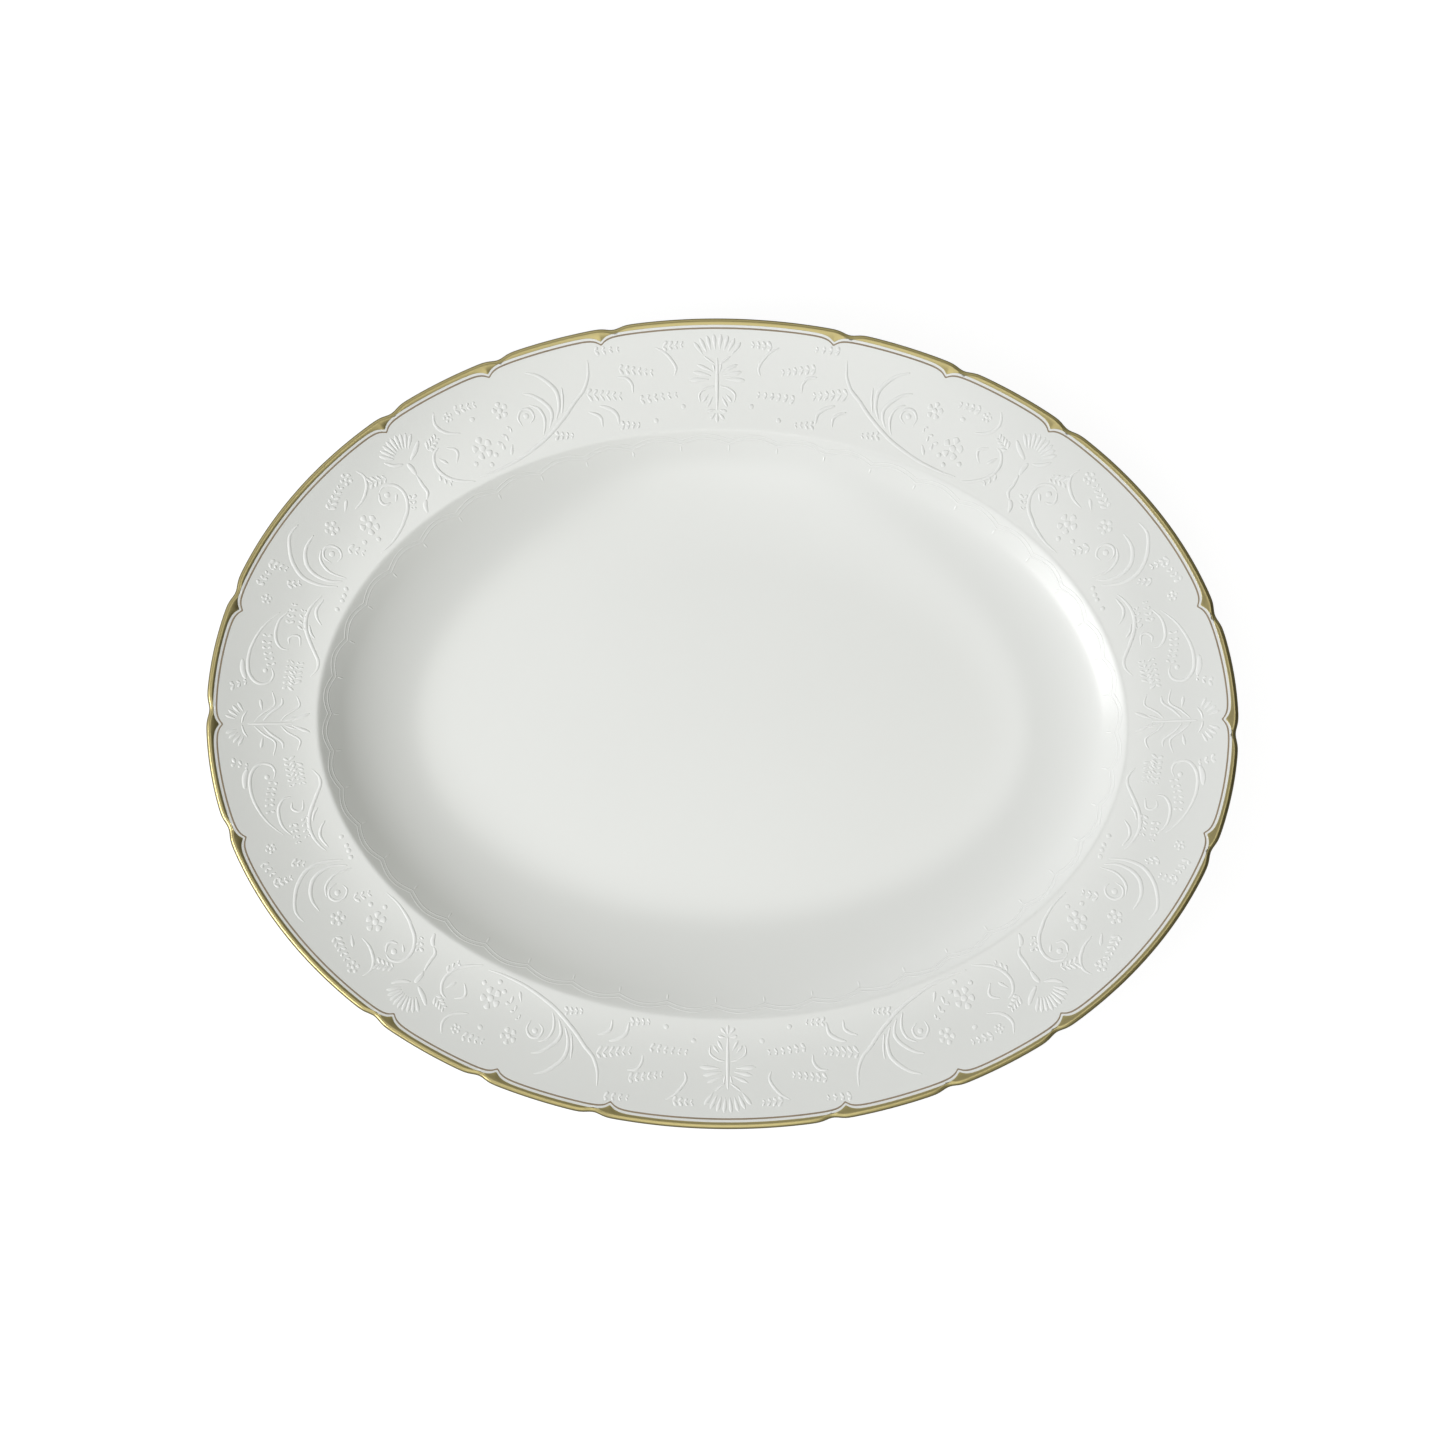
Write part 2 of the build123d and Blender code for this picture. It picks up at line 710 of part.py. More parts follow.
def side_leaves():
    """Half the leaves and curls round the stem at the middle of a side, and half its flower."""
    middle = QUARTER
    return [
        ribbon(0.8, [(middle - 1, 12), (middle - 3, 10.7), (middle - 4.7, 9.4)]),
        leaf((middle - 0.9, 14.8), (middle - 1.5, 12.2), 0.8),
        leaf((middle - 1.7, 14.6), (middle - 7.4, 12.2), 1.3),
        leaf((middle - 2.4, 16), (middle - 9, 14.6), 1.5),
        leaf((middle - 3.2, 17.2), (middle - 10.4, 17.4), 1.6),
        ribbon(
            0.9,
            [(middle - 1.1, 19.6), (middle - 4, 20.2), (middle - 6.8, 22.2), (middle - 6.6, 25)],
        ),
        leaf((middle - 3.4, 22.4), (middle - 5.6, 24.8), 1.1),
        leaf((middle - 1.8, 23.2), (middle - 4, 26.6), 1.2),
        leaf((middle - 0.9, 27.6), (middle - 3.8, 28.2), 1.2),
        leaf((middle - 0.8, 28.8), (middle - 2.8, 31), 1.3),
    ]


def end_stem():
    """The stem astride the axis at an end."""
    return [ribbon(1.0, [(0, 10.6), (0, 14), (0, 20), (0, 26)])]


def side_stem():
    """The rays, stem and topmost petal astride the axis at a side."""
    return [
        *fan((0, 16), 8.8, 14, 8, 72, 1.5),
        ribbon(1.3, [(0, 10), (0, 15), (0, 22), (0, 28)]),
        leaf((0, 28.8), (0, 32), 1.4),
    ]


# ---------------------------------------------------------------- raising the relief

def mirrored(figures):
    return [[(-place, depth, half) for place, depth, half in stroke] for stroke in figures]


def moved(figures, distance):
    return [
        [(place + distance, depth, half) for place, depth, half in stroke] for stroke in figures
    ]


def four_quarters(figures):
    """One quarter's figures, mirrored and repeated to fill the edge."""
    pair = figures + mirrored(figures)
    return pair + moved(pair, 2 * QUARTER)


def opposite(figures, place):
    """Figures moved to a place, and again straight across the platter."""
    return moved(figures, place) + moved(figures, place + 2 * QUARTER)


def palmettes():
    """All the palmettes: four between end and side, two at the ends and two at the sides."""
    return (
        four_quarters(corner_palmette() + end_leaves() + side_leaves())
        + opposite(end_stem(), 0.0)
        + opposite(side_stem(), QUARTER)
    )


def edge_lines(stroke):
    """The two long sides of a stroke, in (place, depth)."""
    sides = ([], [])
    last = len(stroke) - 1
    for i, (place, depth, half) in enumerate(stroke):
        before, after = stroke[max(i - 1, 0)], stroke[min(i + 1, last)]
        run, rise = after[0] - before[0], after[1] - before[1]
        length = math.hypot(run, rise)
        for side, sign in zip(sides, (1, -1)):
            side.append((place - sign * half * rise / length, depth + sign * half * run / length))
    return sides


def raised(stroke, height_at, inset_zero, slip):
    """A stroke as a solid standing on the slope that height_at describes."""
    lines = []
    for side in edge_lines(stroke):
        points = []
        for place, depth in side:
            inset = inset_zero + depth
            x, y = plan_point(place + slip, inset)
            points.append((x, y, height_at(inset)))
        lines.append(Edge.make_spline(points))
    footprint = Face.make_surface_from_curves(lines[0], lines[1])
    return Solid.extrude(footprint, Vector(0, 0, ENAMEL_HEIGHT))


def enamel(figures):
    """Figures of the print, raised on the rim."""
    return Compound(
        [raised(stroke, rim_height, GILT_LINE_INSET, PRINT_SLIP) for stroke in figures]
    )


def border_ring(inset, lift):
    """A ring on the collar: arcs bulging outwards, their cusps pointing into the well."""

    def section(place):
        arc = abs(math.sin(math.pi * BORDER_SCALLOPS * place / CIRCUMFERENCE))
        on_collar = inset + BORDER_SCALLOP_DEPTH * (1.0 - arc)
        return on_collar, collar_height(on_collar) + lift

    return closed_ring(section)


def border_line(inset):
    insets = (inset, inset + BORDER_LINE_WIDTH)
    inner = [border_ring(edge, 0.0) for edge in insets]
    outer = [border_ring(edge, ENAMEL_HEIGHT) for edge in reversed(insets)]
    return closed_loft(inner + outer)


def border_drop(place):
    """A drop below one cusp of the border."""
    stroke = shaped((place, DROP_INSET), (place, DROP_INSET + DROP_LENGTH), DROP_WIDTH, BEAD_SHAPE)
    return raised(stroke, collar_height, 0.0, 0.0)


def shoulder_border():
    """Two scalloped lines and their drops, just inside the well's shoulder."""
    solids = [border_line(BORDER_INSET), border_line(BORDER_INSET + BORDER_LINE_PITCH)]
    for i in range(BORDER_SCALLOPS):
        solids.append(border_drop(i * CIRCUMFERENCE / BORDER_SCALLOPS))
    return Compound(solids)


PARTS = {
    "porcelain_body": porcelain_body(),
    "glaze_coat": glaze_coat(),
    "gilt_edge_band": gilt_edge_band(),
    "gilt_hairline": gilt_hairline(),
    "scroll_relief": enamel(four_quarters(scroll_figures() + leaf_figures())),
    "palmette_relief": enamel(palmettes()),
    "flower_relief": enamel(four_quarters(flower_figures())),
    "shoulder_border_relief": shoulder_border(),
}

os.makedirs("parts", exist_ok=True)
for node, shape in PARTS.items():
    export_step(shape, f"parts/{node}.step")
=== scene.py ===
import math

import bpy
import numpy as np
from mathutils import Matrix, Vector


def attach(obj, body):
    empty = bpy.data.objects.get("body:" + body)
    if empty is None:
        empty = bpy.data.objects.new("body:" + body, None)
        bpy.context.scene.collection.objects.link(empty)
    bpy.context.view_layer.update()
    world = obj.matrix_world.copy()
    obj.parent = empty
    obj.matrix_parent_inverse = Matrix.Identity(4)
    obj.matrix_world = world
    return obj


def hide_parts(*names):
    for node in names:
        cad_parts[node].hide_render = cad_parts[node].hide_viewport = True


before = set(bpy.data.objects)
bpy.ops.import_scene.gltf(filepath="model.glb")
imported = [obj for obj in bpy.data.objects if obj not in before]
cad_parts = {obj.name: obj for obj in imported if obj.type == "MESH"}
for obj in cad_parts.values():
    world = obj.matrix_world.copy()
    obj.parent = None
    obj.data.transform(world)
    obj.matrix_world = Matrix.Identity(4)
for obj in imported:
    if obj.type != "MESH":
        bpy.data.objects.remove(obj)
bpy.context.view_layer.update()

# Working lengths are millimetres, turned to metres when a mesh is made. The light, the floor and
# the camera are in metres.
# "inset" runs in from the lip, square to the edge; "place" runs along the gilt line from the +X
# end, counter-clockwise from above; "depth" runs in from the gilt line.
MM = 0.001

# Outline: an oval of lobes, whose cusps repeat every LOBE_PERIOD units
LIP_SEMI_LENGTH = 177.4
LIP_SEMI_WIDTH = 139.4
NOTCH_DEPTH = 1.0
NOTCH_WIDTH = 3.2
LOBE_UNITS = 24
LOBE_PERIOD = 4
CUSP_UNITS = (0, 1, 3, 4)

# Section, from the lip to the edge of the floor
LIP_PLANE_HEIGHT = 27.0
LIP_SLOPE = 0.27
RIM_END_SLOPE = 0.10
LIP_RADIUS = 1.25
RIM_END_INSET = 36.5
SHOULDER_INSET = 37.9
COLLAR_INSET = 39.5
COLLAR_END_INSET = 45.2
COLLAR_SLOPE = 0.62
WALL_CURVE_INSET = 49.5
WALL_FOOT_INSET = 61.0
FLOOR_INSET = 86.0
FLOOR_HEIGHT = 7.0
WALL_THICKNESS = 4.0

# Foot ring; the rounded underside stops UNDERSIDE_MARGIN short of it
FOOT_OUTER_INSET = 70.0
FOOT_FLARE = 0.8
FOOT_BASE_WIDTH = 4.6
FOOT_CORNER = 0.5
UNDERSIDE_MARGIN = 1.0
GLAZE_LINE_HEIGHT = 0.9
GLAZE_THICKNESS = 0.2

# Gilding and hairline, printed PRINT_SLIP further round than the moulded notches. The rim's plain
# rings start BRACE_ROOM in from the gilt band, clear of the braces.
PRINT_SLIP = 5.0
GILT_BAND_INSET = 2.3
GILT_LINE_INSET = 3.4
GILT_LINE_WIDTH = 0.8
BRACE_DEPTH = 2.1
BRACE_REACH = 1.9
BRACE_TIP_RADIUS = 0.3
BRACE_ROOM = 4.5
GILT_LIFT = 0.06
GILT_SINK = 0.05
# How far out from the gilt band's inner edge, and how high
GILT_EDGE = ((0.0, -GILT_SINK), (0.02, 0.6 * GILT_LIFT), (0.12, GILT_LIFT))
# Across the hairline: share of its half width, and height
HAIRLINE_HALF_WIDTH = 0.40 * GILT_LINE_WIDTH
HAIRLINE_SECTION = (
    (-1.0, -0.04), (-0.85, 0.015), (-0.4, 0.02), (0.4, 0.02), (0.85, 0.015), (1.0, -0.04),
)

# Enamel strokes: low domes with their edges sunk into the glaze. A stroke of few spots is refined
# along a smooth curve. Its height falls with its width towards the tips, by SWELL_POWER, and its
# dome gets steeper with DOME_POWER.
ENAMEL_HEIGHT = 0.14
ENAMEL_SPREAD = 1.15
ENAMEL_SINK = 0.06
STROKE_ACROSS = (-1.0, -0.66, -0.33, 0.0, 0.33, 0.66, 1.0)
SHORT_STROKE = 6
SHORT_STROKE_SPOTS = 12
SWELL_POWER = 0.7
DOME_POWER = 1.3
KNOT_STEPS = 8

# Shapes of the strokes: share of the length, and share of the half width there. A blossom's
# petals and eye are shares of its radius, and a frond's leaflets shrink from base to tip.
PETAL_SHAPE = ((0.0, 0.15), (0.2, 0.55), (0.6, 1.0), (0.85, 0.8), (1.0, 0.15))
BEAD_SHAPE = ((0.0, 0.3), (0.15, 0.75), (0.5, 1.0), (0.85, 0.75), (1.0, 0.3))
RIBBON_TIP = 0.15
RIBBON_TAPER = 0.45
PETALS = 5
PETAL_START = 0.4
PETAL_WIDTH = 0.66
EYE_RADIUS = 0.3
BUD_RADIUS = 0.9
LEAFLET_WIDTH = 1.15
LEAFLET_GAP = 0.25
LEAFLET_SWEEP = math.radians(48)
BACK_LEAFLET = 0.75
FROND_BASE = 1.15
FROND_TAPER = 0.4

# Border at the top of the well: two scalloped lines, and a drop at each scallop's point
BORDER_SCALLOPS = 48
BORDER_INSET = 39.4
BORDER_SCALLOP_DEPTH = 1.7
BORDER_LINE_PITCH = 1.2
BORDER_LINE_HEIGHT = 0.045
BORDER_LINE_WIDTH = 0.5
# Across a border line: share of its half width, and share of its height
BORDER_SECTION = ((-1, -0.3), (-0.5, 0.6), (0, 1.0), (0.5, 0.6), (1, -0.3))
DROP_INSET = 42.9
DROP_LENGTH = 1.8
DROP_WIDTH = 1.1
DROP_HEIGHT = 0.8 * ENAMEL_HEIGHT

# Fineness of the meshes. Stations crowd towards the braces.
ANGLE_STEPS = 7200
STATIONS_PER_UNIT = 40
STATION_CROWDING = 0.6
SHOULDER_STEPS = 8
WALL_STEPS = 26
RIM_STEPS = 14
LIP_STEPS = 14
MIDDLE_STEPS = 10
TREAD_RINGS = 5
SCALLOP_STEPS = 24

# Room light, read by direction: +X is right, +Y is away and +Z is up, each from -1 to 1.
# A pair of limits says where something starts and where it is complete.
# The level low down and high up, each with its lean along X and Y, and no darker than ROOM_DIM
ROOM_LOW = (0.55, (-0.45, 0.15))
ROOM_HIGH = (0.22, (-0.42, 0.04))
ROOM_DIM = 0.04
# Limits along Z between the low and the high part
ROOM_STEP = (0.15, 0.5)
# The high part gains ROOM_SIDES at its near and far sides, then loses ZENITH_LOSS going up
ROOM_SIDES = 0.80
HORIZON_STRENGTH = 1.3
ZENITH_LOSS = 0.6
# Colour at the left and at the right, and the limits along X between them
ROOM_TINT_LEFT = (1.0, 1.0, 1.01)
ROOM_TINT_RIGHT = (1.0, 1.01, 0.86)
TINT_STEP = (-0.3, 0.8)
# Bright strip overhead: limits of its two sides, its far end and its near end
OVERHEAD_SIDE = (0.22, 0.06)
OVERHEAD_FAR = (0.32, 0.10)
OVERHEAD_NEAR = (-0.95, -0.55)
OVERHEAD_GLOW = 1.9

WINDOW_AZIMUTH = 206.0
WINDOW_ELEVATION = 31.0
WINDOW_DISTANCE = 1.2
WINDOW_WIDTH = 0.84
WINDOW_HEIGHT = 0.26
WINDOW_WATTS = 8.0

# The floor glows to the camera only, so it looks white and lights nothing
FLOOR_HALF_SIDE = 6.0
FLOOR_TONE = 0.22
FLOOR_GLOW = 0.9

FRAME_WIDTH = 0.4985
CAMERA_LENS = 100.0
CAMERA_SENSOR = 36.0
CAMERA_AZIMUTH = -90.0
CAMERA_ELEVATION = 87.0
CAMERA_ROLL = 1.35
CAMERA_AIM = (0.0, 0.0, 0.02)


# ---------------------------------------------------------------- edge geometry

def inset_point(angle, inset):
    """Where an inset from the lip comes out, at an angle of the oval's parameter."""
    normal_x = LIP_SEMI_WIDTH * np.cos(angle)
    normal_y = LIP_SEMI_LENGTH * np.sin(angle)
    length = np.hypot(normal_x, normal_y)
    x = LIP_SEMI_LENGTH * np.cos(angle) - inset * normal_x / length
    y = LIP_SEMI_WIDTH * np.sin(angle) - inset * normal_y / length
    return x, y


TABLE_ANGLES = np.linspace(0.0, math.tau, ANGLE_STEPS + 1)
GILT_STEPS = np.hypot(*np.diff(inset_point(TABLE_ANGLES, GILT_LINE_INSET)))
ARC_TABLE = np.concatenate([[0.0], np.cumsum(GILT_STEPS)])
CIRCUMFERENCE = ARC_TABLE[-1]
QUARTER = CIRCUMFERENCE / 4
LOBE_UNIT = CIRCUMFERENCE / LOBE_UNITS
SCALLOP_WIDTH = CIRCUMFERENCE / BORDER_SCALLOPS


def angle_at(place):
    return np.interp(np.mod(place, CIRCUMFERENCE), ARC_TABLE, TABLE_ANGLES)


def cusp_distance(place):
    unit = np.mod(place / LOBE_UNIT, LOBE_PERIOD)
    return LOBE_UNIT * np.min([np.abs(unit - cusp) for cusp in CUSP_UNITS], axis=0)


def notch(place):
    """How far the moulded edge is set in."""
    return NOTCH_DEPTH * np.exp(-((cusp_distance(place) / NOTCH_WIDTH) ** 2))


def brace(place):
    """How far the printed lines dip in, to a fine tip at each cusp."""
    distance = cusp_distance(place - PRINT_SLIP)
    reach = np.hypot(distance, BRACE_TIP_RADIUS) - BRACE_TIP_RADIUS
    return BRACE_DEPTH * np.exp(-reach / BRACE_REACH)


# ---------------------------------------------------------------- section

RIM_CURVE = (LIP_SLOPE - RIM_END_SLOPE) / RIM_END_INSET
LIP_TOUCH = LIP_RADIUS * (1 + LIP_SLOPE / math.hypot(1, LIP_SLOPE))


def rim_height(inset):
    return LIP_PLANE_HEIGHT - LIP_SLOPE * inset + 0.5 * RIM_CURVE * inset * inset


def rim_slope(inset):
    return LIP_SLOPE - RIM_CURVE * inset


def collar_height(inset):
    corner = rim_height(RIM_END_INSET) - RIM_END_SLOPE * (SHOULDER_INSET - RIM_END_INSET)
    return corner - COLLAR_SLOPE * (inset - SHOULDER_INSET)


def cubic(poles, steps):
    """Spots and upward normals along a cubic curve through a section."""
    t = np.linspace(0.0, 1.0, steps + 1)[:, None]
    u = 1.0 - t
    a, b, c, d = [np.array(p, float) for p in poles]
    spot = a * u**3 + 3 * b * u * u * t + 3 * c * u * t * t + d * t**3
    speed = (b - a) * u * u + 2 * (c - b) * u * t + (d - c) * t * t
    speed /= np.linalg.norm(speed, axis=1)[:, None]
    return spot, np.stack([-speed[:, 1], speed[:, 0]], axis=1)


def well_section():
    """Spots and normals from the rim's inner end, over the shoulder, to the floor's edge."""
    corner = (SHOULDER_INSET, collar_height(SHOULDER_INSET))
    rim_end = (RIM_END_INSET, rim_height(RIM_END_INSET))
    collar = (COLLAR_INSET, collar_height(COLLAR_INSET))
    collar_end = (COLLAR_END_INSET, collar_height(COLLAR_END_INSET))
    curve = (WALL_CURVE_INSET, collar_height(WALL_CURVE_INSET))
    wall_foot = (WALL_FOOT_INSET, FLOOR_HEIGHT)
    floor = (FLOOR_INSET, FLOOR_HEIGHT)
    shoulder = cubic((rim_end, corner, corner, collar), SHOULDER_STEPS)
    wall = cubic((collar_end, curve, wall_foot, floor), WALL_STEPS)
    return [np.concatenate(pair) for pair in zip(shoulder, wall)]


def rim_section(start):
    """Spots and normals on the rim from a starting inset to just before its inner end."""
    inset = np.linspace(start, RIM_END_INSET, RIM_STEPS + 1)[:-1]
    slope = rim_slope(inset)
    normals = np.stack([slope, np.ones_like(slope)], axis=1) / np.hypot(1.0, slope)[:, None]
    return np.stack([inset, rim_height(inset)], axis=1), normals


def lip_section(lift):
    """Spots round the lip, from where it meets the rim to the underside."""
    normal = np.array([LIP_SLOPE, 1.0]) / math.hypot(1, LIP_SLOPE)
    centre = np.array([LIP_TOUCH, rim_height(LIP_TOUCH)]) - LIP_RADIUS * normal
    start = math.atan2(normal[1], normal[0])
    angle = start + np.linspace(0, math.pi, LIP_STEPS + 1)
    radius = LIP_RADIUS + lift
    inset = centre[0] + radius * np.cos(angle)
    height = centre[1] + radius * np.sin(angle)
    return np.stack([inset, height], axis=1)


# ---------------------------------------------------------------- rings and surfaces
# A surface is an array of points in millimetres and a list of faces.

def edge_stations():
    """Places round the edge where the rings have their points."""
    part = np.arange(LOBE_UNITS * STATIONS_PER_UNIT) / STATIONS_PER_UNIT
    part = part - STATION_CROWDING * np.sin(math.tau * part) / math.tau
    return PRINT_SLIP + LOBE_UNIT * part


STATIONS = edge_stations()
ANGLES = angle_at(STATIONS)
NOTCHES = notch(STATIONS)
BRACES = brace(STATIONS)


def ring(inset, height):
    """Ring of points in millimetres; inset and height are numbers or one value a station."""
    x, y = inset_point(ANGLES, inset)
    return np.stack([x, y, np.broadcast_to(height, x.shape)], axis=1)


def plain(section):
    return [ring(inset, height) for inset, height in section]


def notched(section):
    """Rings that follow the notches, sliding down the rim's slope as they go in."""
    return [ring(inset + NOTCHES, height - LIP_SLOPE * NOTCHES) for inset, height in section]


def on_rim(inset, lift):
    """Ring on the rim at one inset a station, lifted square to the rim."""
    slope = rim_slope(inset)
    length = np.hypot(1.0, slope)
    return ring(inset + lift * slope / length, rim_height(inset) + lift / length)


def to_middle(edge):
    """Rings inside an edge, shrinking to its middle."""
    middle = edge.mean(axis=0)
    shares = [1 - k / (MIDDLE_STEPS + 0.5) for k in range(1, MIDDLE_STEPS + 1)]
    return [middle + (edge - middle) * share for share in shares]


def skin(rings, closed=False):
    """Quads from ring to ring; closed joins the last to the first, else each end gets a face."""
    rows, count = len(rings), len(rings[0])
    faces = []
    for row in range(rows if closed else rows - 1):
        low = row * count
        high = ((row + 1) % rows) * count
        for i in range(count):
            j = (i + 1) % count
            faces.append((low + i, low + j, high + j, high + i))
    if not closed:
        last = (rows - 1) * count
        faces.append(tuple(range(count))[::-1])
        faces.append(tuple(last + i for i in range(count)))
    return np.concatenate(rings), faces


def filled_skin(rings):
    """A skin whose two ends are closed to the middle."""
    return skin(to_middle(rings[0])[::-1] + rings + to_middle(rings[-1]))


def merged(surfaces):
    """One surface from several."""
    faces = []
    base = 0
    for points, its_faces in surfaces:
        faces += [tuple(base + i for i in face) for face in its_faces]
        base += len(points)
    return np.concatenate([points for points, _ in surfaces]), faces


def new_piece(name, surface, material):
    """A smooth-shaded object of a surface."""
    points, faces = surface
    mesh = bpy.data.meshes.new(name)
    mesh.from_pydata((points * MM).tolist(), [], faces)
    mesh.validate()
    mesh.materials.append(material)
    for polygon in mesh.polygons:
        polygon.use_smooth = True
    mesh.update()
    piece = bpy.data.objects.new(name, mesh)
    bpy.context.scene.collection.objects.link(piece)
    return piece


# ---------------------------------------------------------------- relief vocabulary
# A stroke is a list of (place, depth, half width).

def smooth_path(knots):
    """Catmull-Rom curve through the knots."""
    padded = [knots[0]] + list(knots) + [knots[-1]]
    path = []
    for a, b, c, d in zip(padded, padded[1:], padded[2:], padded[3:]):
        for step in range(KNOT_STEPS):
            t = step / KNOT_STEPS
            spot = []
            for p, q, r, s in zip(a, b, c, d):
                bend = t * t * (p - 2.5 * q + 2 * r - 0.5 * s)
                twist = t**3 * (1.5 * (q - r) + 0.5 * (s - p))
                spot.append(q + 0.5 * t * (r - p) + bend + twist)
            path.append(tuple(spot))
    path.append(knots[-1])
    return path


def ribbon(width, knots):
    """A line through the knots, swelling from fine tips to its full width."""
    path = smooth_path(knots)
    last = len(path) - 1
    stroke = []
    for i, (place, depth) in enumerate(path):
        swell = max(RIBBON_TIP, math.sin(math.pi * i / last) ** RIBBON_TAPER)
        stroke.append((place, depth, width / 2 * swell))
    return stroke


def between(start, end, share):
    return start[0] + share * (end[0] - start[0]), start[1] + share * (end[1] - start[1])


def stepped(spot, angle, distance):
    """The spot a distance away, at an angle from the place axis towards depth."""
    return spot[0] + distance * math.cos(angle), spot[1] + distance * math.sin(angle)


def shaped(base, tip, width, shape):
    """A short stroke from base to tip whose width follows a shape."""
    return [(*between(base, tip, along), swell * width / 2) for along, swell in shape]


def leaf(base, tip, width):
    """A petal: narrow at the base, widest past the middle."""
    return shaped(base, tip, width, PETAL_SHAPE)


def bead(centre, radius):
    place, depth = centre
    return shaped((place - radius, depth), (place + radius, depth), 2 * radius, BEAD_SHAPE)


def ray(centre, angle, inner, outer, width):
    """A petal pointing away from a centre; angle zero points to the lip."""
    angle -= math.pi / 2
    return leaf(stepped(centre, angle, inner), stepped(centre, angle, outer), width)


def blossom(centre, radius):
    """Petals round a bead."""
    petals = [
        ray(centre, math.tau * i / PETALS, PETAL_START * radius, radius, PETAL_WIDTH * radius)
        for i in range(PETALS)
    ]
    return [bead(centre, EYE_RADIUS * radius)] + petals


def fan(centre, inner, outer, rays, spread, width):
    """Rays of a palmette, opening towards the lip."""
    first = -math.radians(spread) / 2
    step = math.radians(spread) / (rays - 1)
    return [ray(centre, first + i * step, inner, outer, width) for i in range(rays)]


def leaf_row(start, end, count, length, lean):
    """A frond: leaflets from start to end, each with a shorter one behind, dwindling to the tip.

    lean, in degrees from the place axis, says which side of the row the longer leaflets are on
    and whether they sweep forward or back.
    """
    along = math.atan2(end[1] - start[1], end[0] - start[0])
    lean = math.remainder(math.radians(lean) - along, math.tau)
    sweep = LEAFLET_SWEEP if abs(lean) < math.pi / 2 else math.pi - LEAFLET_SWEEP
    front = along + math.copysign(sweep, lean)
    back = along - math.copysign(sweep, lean)
    strokes = []
    for i in range(count):
        part = i / (count - 1)
        spot = between(start, end, part)
        size = FROND_BASE - FROND_TAPER * part
        for angle, reach in ((front, length), (back, BACK_LEAFLET * length)):
            strokes.append(leaf(spot, stepped(spot, angle, size * reach), size * LEAFLET_WIDTH))
    return strokes


def sprig(knots, pairs, length, spread):
    """Pairs of leaflets swept forward from a curved line."""
    path = smooth_path(knots)
    strokes = []
    for i in range(pairs):
        at = round(i * (len(path) - 2) / (pairs - 1))
        spot, ahead = path[at], path[at + 1]
        forward = math.atan2(ahead[1] - spot[1], ahead[0] - spot[0])
        for angle in (forward - math.radians(spread), forward + math.radians(spread)):
            base = stepped(spot, angle, LEAFLET_GAP)
            strokes.append(leaf(base, stepped(spot, angle, length), LEAFLET_WIDTH))
    return strokes


# ---------------------------------------------------------------- the print, one quarter of it
# From the middle of the platter's end (place 0) to the middle of its side (place QUARTER).
# The other quarters are this one mirrored in the two axes.

